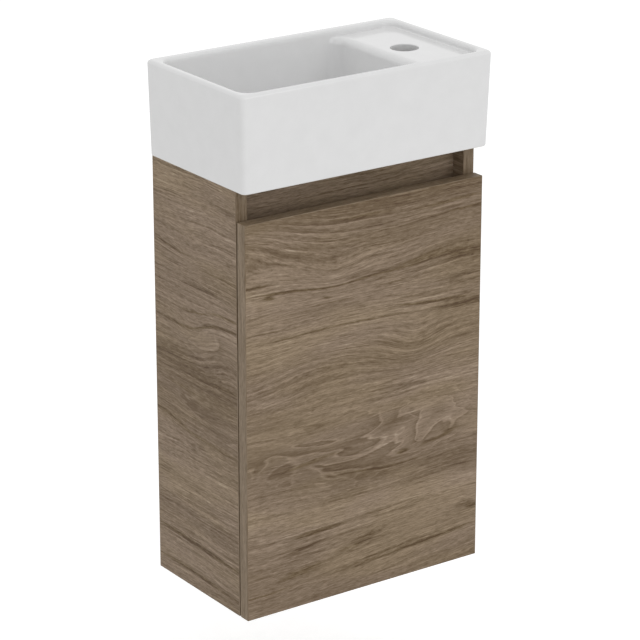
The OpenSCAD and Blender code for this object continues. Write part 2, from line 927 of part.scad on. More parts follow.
module hinge_plates() {
  color(zinc)
    at_hinges()
      difference() {
        union() {
          rotate([0, 90, 0])
            linear_extrude(height = plate_t)
              polygon(strap(
                [-plate_screw_spacing / 2, plate_setback], plate_lug_r,
                [plate_screw_spacing / 2, plate_setback], plate_lug_r
              ));
          translate([0, arm_web_start + layer_gap, -block_half])
            cube([arm_h - steel_t, arm_end - 3 - arm_web_start, 2 * block_half]);
        }
        for (s = [-1, 1]) {
          rod_u(-1, plate_t + 1, plate_setback, s * plate_screw_spacing / 2, plate_screw_r + fit_play);
          rod_u(
            plate_t - plate_head_sink, plate_t + 1, plate_setback,
            s * plate_screw_spacing / 2, plate_head_r + fit_play
          );
        }
        for (v = [side_screw_v, back_screw_v])
          rod_u(arm_screw_start - 1, arm_h, v, 0, arm_screw_r + fit_play);
      }
}

module hinge_plate_screws() {
  color(zinc)
    at_hinges()
      for (s = [-1, 1])
        translate([plate_t - plate_head_sink + plate_head_t, plate_setback, s * plate_screw_spacing / 2])
          rotate([0, -90, 0])
            screw(plate_screw_r, plate_screw_len, plate_head_r, plate_head_t);
}

// Side view of the arm's narrow nose, with the round outer pivot and the slotted inner one
module arm_nose_outline() {
  difference() {
    union() {
      polygon(strap(outer_arm_pivot, arm_nose_r, inner_arm_pivot, slot_half_w + 0.9));
      polygon(strap(inner_arm_pivot, slot_half_w + 0.9, slot_end, slot_half_w + 0.9 - eps));
      polygon([
        outer_arm_pivot + [arm_nose_r, 0],
        outer_arm_pivot + [arm_nose_r, 2],
        [arm_h, arm_web_start],
        [arm_low, arm_web_start],
        [arm_low, arm_start - 3],
        inner_arm_pivot + [-2.2, 1.4]
      ]);
    }
    pivot_hole(outer_arm_pivot);
    polygon(strap(inner_arm_pivot, slot_half_w, slot_end, slot_half_w - eps / 10));
  }
}

module hinge_arms() {
  color(zinc)
    at_hinges()
      difference() {
        union() {
          twin_layer(arm_in, arm_out)
            arm_nose_outline();
          middle_layer(arm_in + eps)
            polygon([
              outer_arm_pivot + [arm_nose_r, 2],
              [arm_h, arm_web_start],
              [arm_h - steel_t, arm_web_start],
              outer_arm_pivot + [arm_nose_r - steel_t, 2]
            ]);
          twin_layer(arm_out - eps, body_out)
            polygon([
              [arm_low, arm_start], [arm_low, arm_start + steel_t],
              [arm_h + arm_flare, arm_start + steel_t], [arm_h + arm_flare, arm_start]
            ]);
          twin_layer(body_out - steel_t, body_out)
            polygon([
              [arm_low, arm_start], [arm_h + arm_flare, arm_start], [arm_h, arm_web_start],
              [arm_h, arm_end], [arm_low + arm_flare, arm_end], [arm_low, arm_end - 6]
            ]);
          middle_layer(body_out)
            polygon([
              [arm_h - steel_t, arm_web_start - eps], [arm_h, arm_web_start - eps],
              [arm_h, arm_end], [arm_h - steel_t, arm_end]
            ]);
        }
        for (v = [side_screw_v, back_screw_v])
          rod_u(arm_screw_start - 1, arm_h + 5, v, 0, arm_screw_r + fit_play);
      }
}

module hinge_arm_screws() {
  color(zinc)
    at_hinges()
      for (v = [side_screw_v, back_screw_v])
        translate([arm_h + arm_head_t, v, 0])
          rotate([0, -90, 0])
            screw(arm_screw_r, arm_h - arm_screw_start, arm_head_r, arm_head_t);
}

module arm_pivot_pins() {
  color(steel)
    at_hinges() {
      translate([outer_arm_pivot[0], outer_arm_pivot[1], -link_out - layer_gap - pin_head_t])
        cylinder(h = 2 * (link_out + layer_gap + pin_head_t), r = pin_r, $fn = round_fn);
      for (s = [0, 1])
        mirror([0, 0, s])
          translate([outer_arm_pivot[0], outer_arm_pivot[1], link_out + layer_gap])
            cylinder(h = pin_head_t, r = pin_r + pin_collar, $fn = round_fn);
    }
}

// Side view of the outer link: a broad eye round the arm's pivot, then a strap that is bent
// round the side board's corner and ends in the cup
module outer_link_outline() {
  bend_a = [5.5, 0.5];
  bend_b = [outer_cup_pivot[0] + 5.2, outer_cup_pivot[1] - 1.8];
  difference() {
    union() {
      polygon(strap(outer_arm_pivot, wrap_r, bend_a, 1.8, 16));
      polygon(strap(bend_a, 1.8, bend_b, 1.3));
      polygon(strap(bend_b, 1.3, outer_cup_pivot, outer_eye_r));
    }
    pivot_hole(outer_arm_pivot);
    pivot_hole(outer_cup_pivot);
  }
}

module outer_links() {
  color(steel)
    at_hinges() {
      twin_layer(link_in, link_out)
        outer_link_outline();
      middle_layer(link_in + eps)
        translate(outer_arm_pivot)
          polygon([
            for (i = [0:8])
              let (t = wrap_start + (wrap_end - wrap_start) * i / 8)
              wrap_r * [cos(t), sin(t)],
            for (i = [8:-1:0])
              let (t = wrap_start + (wrap_end - wrap_start) * i / 8)
              (wrap_r - wrap_t) * [cos(t), sin(t)]
          ]);
    }
}

// Side view of the inner link: a hook that reaches under the cup's rim
module inner_link_outline() {
  bend_a = [inner_arm_pivot[0] - 1.6, inner_cup_pivot[1] + 1.8];
  bend_b = [inner_cup_pivot[0] + 9.4, inner_cup_pivot[1] - 1.1];
  difference() {
    union() {
      polygon(strap(inner_arm_pivot, inner_eye_r - 0.1, bend_a, link_waist_r));
      polygon(strap(bend_a, link_waist_r, bend_b, link_waist_r - eps));
      polygon(strap(bend_b, link_waist_r, inner_cup_pivot, inner_eye_r));
    }
    pivot_hole(inner_arm_pivot);
    pivot_hole(inner_cup_pivot);
  }
}

module inner_links() {
  color(steel)
    at_hinges()
      middle_layer(inner_half)
        inner_link_outline();
}

module inner_link_pins() {
  color(steel)
    at_hinges()
      translate([inner_arm_pivot[0], inner_arm_pivot[1], -arm_out])
        cylinder(h = 2 * arm_out, r = pin_r, $fn = round_fn);
}

// Front view of the cup's flange, in u and z
module cup_flange_outline() {
  difference() {
    union() {
      circle(r = cup_d / 2 + 1, $fn = round_fn);
      for (s = [-1, 1])
        polygon(strap([2, s * 6], 12, [cup_screw_u, s * cup_screw_z], cup_lug_r));
    }
    for (s = [-1, 1])
      translate([cup_screw_u, s * cup_screw_z])
        circle(r = cup_screw_r + 5 * fit_play, $fn = round_fn);
  }
}

// A piece drawn in u and z over the cup's middle, standing off the door's inner face
module on_cup(v) {
  translate([cup_u, -door_gap + v, 0])
    rotate([90, 0, 0])
      children();
}

module hinge_cups() {
  color(zinc)
    at_hinges()
      difference() {
        union() {
          on_cup(0)
            cylinder(h = cup_depth, r = cup_d / 2, $fn = round_fn);
          on_cup(cup_flange_t)
            linear_extrude(height = cup_flange_t)
              cup_flange_outline();
        }
        intersection() {
          on_cup(cup_flange_t + 1)
            cylinder(h = pocket_floor + cup_flange_t + 1, r = pocket_r, $fn = round_fn);
          translate([cup_u - pocket_r + 1.1, -door_gap - pocket_floor, -ear_in])
            cube([2 * pocket_r, pocket_floor + 5, 2 * ear_in]);
        }
        for (p = [outer_cup_pivot, inner_cup_pivot])
          translate([p[0], p[1], -ear_in - pin_in_cup - layer_gap])
            cylinder(h = 2 * (ear_in + pin_in_cup + layer_gap), r = pin_hole_r, $fn = round_fn);
      }
}

module cup_pivot_pins() {
  color(steel)
    at_hinges() {
      translate([inner_cup_pivot[0], inner_cup_pivot[1], -ear_in - pin_in_cup])
        cylinder(h = 2 * (ear_in + pin_in_cup), r = pin_r, $fn = round_fn);
      for (s = [0, 1])
        mirror([0, 0, s])
          translate([outer_cup_pivot[0], outer_cup_pivot[1], link_in - layer_gap - 0.4]) {
            cylinder(h = ear_in + pin_in_cup - link_in + layer_gap + 0.4, r = pin_r, $fn = round_fn);
            cylinder(h = 0.4, r = pin_r + 0.5, $fn = round_fn);
          }
    }
}

module cup_screws() {
  color(zinc)
    at_hinges()
      for (s = [-1, 1])
        on_cup(cup_flange_t + cup_head_t)
          translate([cup_screw_u, s * cup_screw_z, 0])
            screw(cup_screw_r, cup_screw_len + cup_flange_t, cup_head_r, cup_head_t);
}

// Door

module door_panel() {
  color(walnut)
    difference() {
      board(
        -side_out + band_t, side_out - band_t, door_out, door_in,
        carcass_base + band_t, door_top - band_t
      );
      at_hinges() {
        on_cup(1)
          cylinder(h = cup_depth + 1.2, r = cup_d / 2 + fit_play, $fn = round_fn);
        for (s = [-1, 1])
          on_cup(1)
            translate([cup_screw_u, s * cup_screw_z, 0])
              cylinder(h = cup_screw_len + 1 + hole_spare, r = cup_screw_r + fit_play, $fn = round_fn);
      }
    }
}

module door_edge_bands() {
  color(walnut)
    for (s = [0, 1]) {
      mirror([s, 0, 0])
        board(side_out - band_t, side_out, door_out, door_in, carcass_base, door_top);
      board(
        -side_out + band_t, side_out - band_t, door_out, door_in,
        s == 0 ? carcass_base : door_top - band_t, s == 0 ? carcass_base + band_t : door_top
      );
    }
}

module door_bumpers() {
  bumper_t = door_gap - 0.3;
  color(rubber_clear)
    for (z = [carcass_base + 30, door_top - 12])
      rod_y(-side_out + board_t / 2, door_in, door_in + bumper_t, z, bumper_d / 2);
}

basin();
left_panel();
right_panel();
bottom_panel();
recess_fascia();
rear_top_rail();
rear_bottom_rail();
shelf();
shelf_pins();
carcass_edge_bands();
cam_locks();
cam_bolts();
wood_dowels();
hanger_housings();
hanger_hooks();
hanger_adjusting_screws();
hanger_fixing_screws();
wall_plates();
hinge_plates();
hinge_plate_screws();
hinge_arms();
hinge_arm_screws();
arm_pivot_pins();
outer_links();
inner_links();
inner_link_pins();
hinge_cups();
cup_pivot_pins();
cup_screws();
door_panel();
door_edge_bands();
door_bumpers();
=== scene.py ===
"""Looks of a wall-hung cloakroom vanity unit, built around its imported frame. Metres throughout."""
import math

import bmesh
import bpy
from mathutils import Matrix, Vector


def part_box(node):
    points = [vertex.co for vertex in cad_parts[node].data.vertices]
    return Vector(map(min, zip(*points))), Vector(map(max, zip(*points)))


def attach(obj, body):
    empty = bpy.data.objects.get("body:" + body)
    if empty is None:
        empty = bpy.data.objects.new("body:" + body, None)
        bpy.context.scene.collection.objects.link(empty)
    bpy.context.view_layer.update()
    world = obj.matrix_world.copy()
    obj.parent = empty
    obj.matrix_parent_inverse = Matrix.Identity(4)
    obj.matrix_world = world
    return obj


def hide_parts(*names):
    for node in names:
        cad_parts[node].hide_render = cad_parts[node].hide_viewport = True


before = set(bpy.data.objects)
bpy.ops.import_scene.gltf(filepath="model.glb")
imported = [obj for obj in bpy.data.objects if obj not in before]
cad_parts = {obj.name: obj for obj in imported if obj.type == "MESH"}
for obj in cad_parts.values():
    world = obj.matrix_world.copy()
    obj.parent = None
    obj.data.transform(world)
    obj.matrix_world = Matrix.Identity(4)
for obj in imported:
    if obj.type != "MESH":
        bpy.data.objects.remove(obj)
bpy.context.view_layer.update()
MM, PERCENT = 0.001, 0.01
WHITE = (1, 1, 1, 1)

# The camera of the photograph: where it looks, from which side, how far off and how long its lens is
AIM = Vector((-0.0002, -0.1035, -0.1483))
AZIMUTH, ELEVATION, DISTANCE, LENS, SENSOR = -35.07, 19.83, 3.666, 166.62, 36.0

# Places and sizes that the frame gives
BASIN_LOW, BASIN_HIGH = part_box("basin")
LEFT_LOW, LEFT_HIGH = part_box("left_panel")
DOOR_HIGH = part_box("door_edge_bands")[1]
BASE = BASIN_LOW.z                            # underside of the basin
HALF_W, DOOR_TOP = DOOR_HIGH.x, DOOR_HIGH.z
CARCASS_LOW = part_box("bottom_panel")[0].z
CARCASS_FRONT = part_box("carcass_edge_bands")[0].y
BOARD = LEFT_HIGH.x - LEFT_LOW.x              # thickness of a board
BAND = HALF_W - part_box("door_panel")[1].x     # thickness of an edge band
SHELF_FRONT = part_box("shelf")[0].y - BAND     # front of the shelf's edge band
ROOM_FLOOR = BASIN_HIGH.z - 850 * MM          # the rim hangs 85 cm over the floor

WELD = 0.001 * MM                             # points nearer than this are one point
NEAR = 0.1 * MM                               # an edge this near to a plane lies on it
SEAM = 0.05 * MM                              # a change of finish keeps this far off a seam
FLAT = 0.3                                    # degrees up to which two faces are one flat face
SHARP = 35                                    # degrees from which an edge is rounded off
FACING = 0.7                                  # a face looks along an axis from this part of its normal on


def srgb(r, g, b):
    """A colour as a picture shows it, 0 to 255, made linear."""
    def lin(c):
        c /= 255
        return c / 12.92 if c <= 0.04045 else ((c + 0.055) / 1.055) ** 2.4
    return lin(r), lin(g), lin(b), 1.0


# Node helpers

class Tree:
    """Builds nodes in one node tree. A value given for a socket is linked if it is a socket itself."""

    def __init__(self, tree):
        self.tree = tree

    def put(self, socket, value):
        if isinstance(value, bpy.types.NodeSocket):
            self.tree.links.new(value, socket)
        else:
            socket.default_value = value

    def node(self, kind, inputs=None, **settings):
        n = self.tree.nodes.new(kind)
        for key, value in settings.items():
            setattr(n, key, value)
        for key, value in (inputs or {}).items():
            self.put(n.inputs[key], value)
        return n

    def math(self, operation, *values):
        return self.node("ShaderNodeMath", dict(enumerate(values)), operation=operation).outputs[0]

    def times(self, a, b):
        return self.math("MULTIPLY", a, b)

    def minus(self, a, b):
        return self.math("SUBTRACT", a, b)

    def plus(self, total, value, times=1.0):
        """A total with a value added to it so many times."""
        return self.math("MULTIPLY_ADD", value, times, total)

    def vec(self, operation, a, b):
        n = self.node("ShaderNodeVectorMath", {0: a, 1: b}, operation=operation)
        return n.outputs["Value" if operation == "DOT_PRODUCT" else "Vector"]

    def split(self, v):
        return self.node("ShaderNodeSeparateXYZ", {0: v}).outputs

    def join(self, x, y, z):
        return self.node("ShaderNodeCombineXYZ", {0: x, 1: y, 2: z}).outputs[0]

    def noise(self, v, scale=1.0, detail=2.0, rough=0.5, distortion=0.0):
        return self.node("ShaderNodeTexNoise", {
            "Vector": v, "Scale": scale, "Detail": detail, "Roughness": rough,
            "Distortion": distortion}).outputs[0]

    def stretched(self, v, along, across, detail, rough=0.5, distortion=0.0):
        """Noise with so many cells to the metre along the grain, and across it."""
        return self.noise(self.vec("MULTIPLY", v, (along, across, across)), 1.0, detail, rough, distortion)

    def remap(self, value, a, b, c=0.0, d=1.0, curve="SMOOTHSTEP"):
        """Brings a value from the range a to b into the range c to d."""
        return self.node("ShaderNodeMapRange", {0: value, 1: a, 2: b, 3: c, 4: d},
                         interpolation_type=curve).outputs[0]

    def mix(self, fac, a, b, blend="MIX"):
        n = self.node("ShaderNodeMix", {0: fac, 6: a, 7: b}, data_type="RGBA", blend_type=blend)
        return n.outputs[2]

    def blend(self, fac, a, b):
        return self.node("ShaderNodeMix", {0: fac, 2: a, 3: b}, data_type="FLOAT").outputs[0]

    def ramp(self, fac, stops):
        n = self.node("ShaderNodeValToRGB", {0: fac})
        for i, (at, colour) in enumerate(stops):
            e = n.color_ramp.elements[i] if i < 2 else n.color_ramp.elements.new(at)
            e.position, e.color = at, colour
        return n.outputs[0]

    def bump(self, height, distance, strength):
        return self.node("ShaderNodeBump", {
            "Height": height, "Distance": distance, "Strength": strength}).outputs[0]

    def place(self):
        return self.node("ShaderNodeTexCoord").outputs["Object"]

    def normal(self):
        return self.split(self.node("ShaderNodeTexCoord").outputs["Normal"])

    def group(self, group, **inputs):
        return self.node("ShaderNodeGroup", inputs, node_tree=group).outputs

    def surface(self, shader):
        """Makes a shader node the surface of this material."""
        self.node("ShaderNodeOutputMaterial", {0: shader.outputs[0]})

    def principled(self, inputs):
        self.surface(self.node("ShaderNodeBsdfPrincipled", inputs))


def new_group(name, kind, inputs, outputs):
    """An empty node group with named sockets: its tree, the group, and its sockets as seen from inside."""
    g = bpy.data.node_groups.new(name, kind + "NodeTree")
    for way, sockets in (("INPUT", inputs), ("OUTPUT", outputs)):
        for label, socket in sockets.items():
            g.interface.new_socket(label, in_out=way, socket_type="NodeSocket" + socket)
    t = Tree(g)
    return t, g, t.node("NodeGroupInput").outputs, t.node("NodeGroupOutput").inputs


def material(name):
    """An empty material and its tree."""
    m = bpy.data.materials.new(name)
    m.use_nodes = True
    m.node_tree.nodes.clear()
    return m, Tree(m.node_tree)


# Shared effects

def make_grain_bend():
    """Adds to a total a smooth hill round a place on the board: it bends the grain there."""
    t, g, i, o = new_group("grain_bend", "Shader", {
        "Total": "Float", "Place": "Vector", "Centre": "Vector", "Reach": "Vector", "Amount": "Float"},
        {"Total": "Float"})
    away = t.vec("DIVIDE", t.vec("SUBTRACT", i["Place"], i["Centre"]), i["Reach"])
    hill = t.math("EXPONENT", t.times(t.vec("DOT_PRODUCT", away, away), -1.0))
    t.put(o["Total"], t.plus(i["Total"], hill, i["Amount"]))
    return g


def make_grain_mark():
    """Adds to a total a streak with tapering ends: dark where its strength is below zero."""
    t, g, i, o = new_group("grain_mark", "Shader", {
        "Total": "Float", "Place": "Vector", "Centre": "Vector", "Reach": "Vector", "Slope": "Float",
        "Strength": "Float"}, {"Total": "Float"})
    along, across, _ = t.split(t.vec("SUBTRACT", i["Place"], i["Centre"]))
    level = t.minus(across, t.times(along, i["Slope"]))
    away = t.vec("DIVIDE", t.join(along, level, 0.0), i["Reach"])
    far = t.vec("DOT_PRODUCT", away, away)
    streak = t.math("EXPONENT", t.times(t.math("POWER", far, 1.4), -0.7))
    t.put(o["Total"], t.plus(i["Total"], streak, t.times(i["Strength"], 1.2)))
    return g


# A growth ring from edge to edge: a pale line, then a dark body that fades out
EDGE_THEN_SHADE = [(at, (v, v, v, 1)) for at, v in (
    (0.0, 1.0), (0.07, 0.62), (0.11, 0.02), (0.36, 0.30), (0.80, 0.52), (0.94, 0.58), (1.0, 1.0))]
RING_MEAN = 0.46


def make_walnut_figure():
    """Walnut grain along the first coordinate: a tone round 0.5, the height of the open grain, the
    place as the grain sees it, and how far fine grain lets a mark through."""
    t, g, i, o = new_group("walnut_figure", "Shader", {
        "Place": "Vector", "Shift": "Float", "Waviness": "Float", "Curl": "Float", "Rings": "Float",
        "Streaks": "Float"}, {"Tone": "Float", "Height": "Float", "Grain": "Vector", "Breaks": "Float"})
    place, curl = i["Place"], i["Curl"]
    along, across, depth = t.split(place)

    # slow waves bend the grain, quick ones make it wobble
    bend = t.times(t.minus(t.stretched(place, 3.4, 8.0, detail=1.0), 0.5), 60 * MM)
    wobble = t.times(t.minus(t.stretched(place, 16.0, 30.0, detail=3.0), 0.5), 12 * MM)
    shift = t.plus(i["Shift"], t.plus(bend, wobble), i["Waviness"])

    # where the wood curls, the growth lines swing round jagged, flame-like outlines
    flame = t.stretched(place, 5.5, 18.0, detail=3.2, rough=0.44, distortion=0.7)
    folded = t.times(t.times(t.minus(flame, 0.5), 50 * MM), curl)
    level = t.plus(t.plus(across, shift), folded)
    grain = t.join(along, level, depth)
    fibre_way = t.join(along, t.plus(level, folded, -0.7), depth)
    outline = t.ramp(t.math("FRACT", t.times(flame, 8.0)), EDGE_THEN_SHADE)
    flames = t.times(t.minus(outline, RING_MEAN), curl)

    # broad zones, growth lines, and the pale edge and dark body of single rings
    zones = t.stretched(grain, 2.2, 15.0, detail=2.0)
    lines = t.stretched(grain, 9.0, 225.0, detail=4.0, rough=0.72)
    lines_here = t.remap(t.stretched(grain, 7.0, 34.0, detail=1.0), 0.35, 0.65, 0.55, 1.35)
    lines_here = t.times(lines_here, t.plus(1.0, curl, -0.55))
    cycle = t.math("FRACT", t.plus(t.times(zones, 2.5), level, 118.0))
    ring_here = t.remap(t.stretched(grain, 5.0, 30.0, detail=1.0), 0.50, 0.72, 0.0, 0.6)
    ring_here = t.math("MAXIMUM", ring_here, i["Rings"])
    rings = t.times(t.minus(t.ramp(cycle, EDGE_THEN_SHADE), RING_MEAN), ring_here)
    rings = t.plus(rings, flames, 1.25)

    # thin dark lines, each with a pale one beside it, that run on along the grain at uneven distances
    course = t.stretched(grain, 2.4, 58.0, detail=2.5)
    dark_line, pale_line = (
        t.remap(t.math("ABSOLUTE", t.minus(course, middle)), 0.0, half_width, 1.0, 0.0)
        for middle, half_width in ((0.5, 0.022), (0.545, 0.020)))
    line_here = t.remap(t.stretched(grain, 8.0, 24.0, detail=2.0), 0.42, 0.58, 0.05, 1.0)
    line_here = t.times(line_here, t.plus(1.0, curl, -0.7))
    pairs = t.times(t.plus(t.times(dark_line, -1.0), pale_line, 0.7), line_here)
    long_streaks = t.remap(t.stretched(grain, 3.2, 58.0, detail=2.0), 0.57, 0.74)

    # fibres, short open pores and the pale flecks between them
    fibres = t.stretched(fibre_way, 75.0, 520.0, detail=4.0, rough=0.72)
    pores = t.remap(t.stretched(fibre_way, 120.0, 1150.0, detail=1.0), 0.58, 0.68)
    flecks = t.remap(t.stretched(fibre_way, 58.0, 620.0, detail=2.0), 0.60, 0.72)

    tone = 0.52
    for layer, weight in [
            (t.minus(zones, 0.5), 0.75), (t.times(long_streaks, i["Streaks"]), -0.30),
            (t.times(t.minus(lines, 0.5), lines_here), 1.05), (rings, 0.42), (pairs, 0.22),
            (t.times(t.minus(fibres, 0.5), t.plus(1.0, curl, -0.45)), 1.15),
            (flecks, 0.16), (pores, -0.16)]:
        tone = t.plus(tone, layer, weight)
    t.put(o["Tone"], tone)
    t.put(o["Height"], t.plus(t.plus(fibres, rings, 0.5), pores, -0.8))
    t.put(o["Grain"], grain)
    t.put(o["Breaks"], t.remap(t.plus(t.times(fibres, 0.5), lines, 0.7), 0.48, 0.72, 1.3, 0.6))
    return g


def make_chipboard():
    """Pressed wood flakes, as a sawn or drilled edge shows them."""
    t, g, i, o = new_group("chipboard", "Shader", {"Place": "Vector"},
                           {"Colour": "Color", "Height": "Float"})
    flakes = t.node("ShaderNodeTexVoronoi", {"Vector": i["Place"], "Scale": 480.0}).outputs
    fine = t.noise(i["Place"], 1900.0)
    shade = t.plus(t.times(t.split(flakes["Color"])[0], 0.75), fine, 0.25)
    t.put(o["Colour"], t.ramp(shade, [
        (0.1, srgb(128, 98, 66)), (0.5, srgb(168, 135, 97)), (0.9, srgb(203, 174, 134))]))
    t.put(o["Height"], t.plus(flakes["Distance"], fine))
    return g


def make_mottle():
    """Slow and fine unevenness of a cast, plated or moulded surface, both round 0.5."""
    t, g, i, o = new_group("mottle", "Shader", {"Place": "Vector", "Size": "Float"},
                           {"Slow": "Float", "Fine": "Float"})
    scale = t.math("DIVIDE", 1.0, i["Size"])
    t.put(o["Slow"], t.noise(i["Place"], scale, 3.0, 0.55))
    t.put(o["Fine"], t.noise(i["Place"], t.times(scale, 14.0), 3.0, 0.6))
    return g


GRAIN_BEND = make_grain_bend()
GRAIN_MARK = make_grain_mark()
WALNUT_FIGURE = make_walnut_figure()
CHIPBOARD = make_chipboard()
MOTTLE = make_mottle()

WALNUT_TONES = [
    (0.0, srgb(81, 60, 38)), (0.25, srgb(104, 86, 63)), (0.5, srgb(127, 110, 89)),
    (0.75, srgb(149, 131, 110)), (1.0, srgb(174, 158, 137))]
ROSY, OCHRE = (1.006, 0.981, 0.998, 1), (1.0, 0.974, 0.838, 1)
LAMINATE_SHINE = 0.35
BAND_OFFSET = 3.0                             # the bands' own part of the noise


class Figure:
    """Where one board's grain bends, curls and darkens. Places and reaches are millimetres along the
    grain and down from the board's corner: (along, down, reach along, reach down, amount). A bend's
    amount is millimetres too. Other amounts are hundredths, as is a mark's slope, which comes before
    its strength."""

    def __init__(self, corner=(0.0, 0.0), bends=(), curls=(), rings=(), zones=(), marks=()):
        self.corner, self.bends, self.curls, self.rings = corner, bends, curls, rings
        self.zones, self.marks = zones, marks

    def place(self, along, down):
        return self.corner[0] + along * MM, self.corner[1] - down * MM

    def level(self, along, down):
        """The grain line that runs through a place, once the board's bends have moved it."""
        total = sum(amount * math.exp(-((along - a) / ra) ** 2 - ((down - d) / rd) ** 2)
                    for a, d, ra, rd, amount in self.bends)
        return self.place(along, down)[1] + total * MM

    def hills(self, t, flat, total, hills, unit=PERCENT):
        for a, d, ra, rd, amount in hills:
            total = t.group(GRAIN_BEND, Total=total, Place=flat, Centre=(*self.place(a, d), 0.0),
                            Reach=(ra * MM, rd * MM, 1.0), Amount=amount * unit)["Total"]
        return total

    def shade(self, t, flat, wood):
        """The wood's tone with the board's own zones and marks. Fine grain breaks the marks up."""
        tone, marked = self.hills(t, flat, wood["Tone"], self.zones), 0.0
        for a, d, ra, rd, slope, strength in self.marks:
            centre = (self.place(a, d)[0], self.level(a, d), 0.0)
            marked = t.group(
                GRAIN_MARK, Total=marked, Place=wood["Grain"], Centre=centre, Reach=(ra * MM, rd * MM, 1.0),
                Slope=-slope * PERCENT, Strength=strength * PERCENT)["Total"]
        return t.plus(tone, marked, wood["Breaks"])


# Finishes

def walnut(name, grain, faces, offset, waviness, curl=0.0, streaks=1.0, painted_light_lift=0.0, figure=None, banded=()):
    """Laminated board. grain names the axis that the grain follows and faces the axis that the printed
    faces look along: other faces show the board's core, apart from the banded ones (axis, sign).
    offset picks the board's own part of the noise. A tone added over the whole board is painted light,
    which lightens a board lying in shade."""
    m, t = material(name)
    place = t.place()
    axes = t.split(place)
    third = next(axis for axis in "XYZ" if axis not in (grain, faces))
    along, across, depth = axes[grain], axes[third], axes[faces]
    flat = t.join(along, across, 0.0)
    figure = figure or Figure()
    wood = t.group(WALNUT_FIGURE, Place=t.join(along, across, t.plus(depth, offset)),
                   Shift=figure.hills(t, flat, 0.0, figure.bends, MM), Waviness=waviness, Streaks=streaks,
                   Curl=figure.hills(t, flat, curl, figure.curls),
                   Rings=figure.hills(t, flat, 0.0, figure.rings))
    # painted light: the added tone lightens a board that lies in shade
    tone = t.plus(figure.shade(t, flat, wood), painted_light_lift)
    hue = t.noise(t.vec("MULTIPLY", t.join(along, across, offset), (5.0, 20.0, 1.0)))
    hue = t.remap(hue, 0.38, 0.66, 0.0, 0.55)
    marked = t.remap(t.minus(wood["Tone"], tone), 0.05, 0.30)
    tinge = t.ramp(t.math("MAXIMUM", hue, marked), [(0.0, ROSY), (1.0, OCHRE)])
    colour = t.mix(1.0, t.ramp(tone, WALNUT_TONES), tinge, "MULTIPLY")
    normal, printed = t.normal(), 0.0
    for axis, sign in [(faces, 1), (faces, -1), *banded]:
        looks_there = t.math("GREATER_THAN", t.times(normal[axis], sign), FACING)
        printed = t.math("MAXIMUM", printed, looks_there)
    core = t.group(CHIPBOARD, Place=place)
    rough = t.remap(wood["Height"], 0.2, 0.9, 0.60, 0.46)
    t.principled({
        "Base Color": t.mix(printed, core["Colour"], colour), "Roughness": t.blend(printed, 0.85, rough),
        "Normal": t.bump(t.blend(printed, core["Height"], wood["Height"]), 0.12 * MM, 0.6),
        "Specular IOR Level": LAMINATE_SHINE})
    return m


def edge_band(name, upright, level_tone_and_painted_shade, upright_tone_and_painted_shade):
    """Plain banding whose grain runs up the uprights and along the level edges. upright is the distance
    from the middle past which a band is an upright one. Its two tones carry painted shade: the door's level
    bands are darker for the basin's shade on the door's top, and the carcass bands for the shade of the
    recess."""
    m, t = material(name)
    x, y, z = t.split(t.place())
    is_upright = t.math("GREATER_THAN", t.math("ABSOLUTE", x), upright)
    along, across = t.blend(is_upright, x, z), t.blend(is_upright, z, x)
    wood = t.group(WALNUT_FIGURE, Place=t.join(along, across, t.plus(y, BAND_OFFSET)),
                   Waviness=0.10, Streaks=0.3)
    # the tones given are lowered in places to paint shade
    tone = t.plus(t.blend(is_upright, level_tone_and_painted_shade, upright_tone_and_painted_shade), wood["Tone"], 0.7)
    t.principled({
        "Base Color": t.ramp(tone, WALNUT_TONES),
        "Roughness": t.remap(wood["Height"], 0.2, 0.9, 0.58, 0.46),
        "Normal": t.bump(wood["Height"], 0.1 * MM, 0.5), "Specular IOR Level": LAMINATE_SHINE})
    return m


def glazed_ceramic(name):
    """White glaze, with bare fired clay on the underside's foot and on the back."""
    m, t = material(name)
    place, normal = t.place(), t.normal()
    _, y, z = t.split(place)
    mottle = t.group(MOTTLE, Place=place, Size=22 * MM)
    foot = t.times(t.math("LESS_THAN", z, BASE + 1.2 * MM), t.math("LESS_THAN", normal["Z"], -FACING))
    back = t.times(t.math("GREATER_THAN", y, -0.8 * MM), t.math("GREATER_THAN", normal["Y"], FACING))
    bare = t.math("MAXIMUM", foot, back)
    glaze = t.ramp(mottle["Slow"], [(0.3, srgb(226, 226, 226)), (0.7, srgb(229, 229, 229))])
    clay = t.ramp(mottle["Fine"], [(0.3, srgb(214, 207, 196)), (0.7, srgb(228, 222, 212))])
    t.principled({
        "Base Color": t.mix(bare, glaze, clay),
        "Roughness": t.blend(bare, t.remap(mottle["Slow"], 0.3, 0.7, 0.10, 0.15), 0.75),
        "Coat Weight": t.blend(bare, 0.35, 0.0), "Coat Roughness": 0.04,
        "Normal": t.bump(mottle["Slow"], 0.15 * MM, 0.2)})
    return m


def metal(name, dark, light, rough, size, bump):
    """Cast or plated metal, with unevenness of a size and height."""
    m, t = material(name)
    mottle = t.group(MOTTLE, Place=t.place(), Size=size)
    worn = t.times(t.plus(mottle["Slow"], mottle["Fine"]), 0.5)
    t.principled({
        "Base Color": t.ramp(worn, [(0.38, srgb(*dark)), (0.62, srgb(*light))]), "Metallic": 1.0,
        "Roughness": t.remap(worn, 0.35, 0.65, rough + 0.08, rough - 0.06),
        "Normal": t.bump(mottle["Fine"], bump, 0.6)})
    return m


def moulded(name, dark, light, rough, transmission=0.0):
    m, t = material(name)
    mottle = t.group(MOTTLE, Place=t.place(), Size=3 * MM)
    t.principled({
        "Base Color": t.ramp(mottle["Slow"], [(0.35, srgb(*dark)), (0.65, srgb(*light))]),
        "Roughness": t.remap(mottle["Fine"], 0.3, 0.7, rough + 0.05, rough - 0.05),
        "Normal": t.bump(mottle["Fine"], 0.05 * MM, 0.5), "Transmission Weight": transmission})
    return m


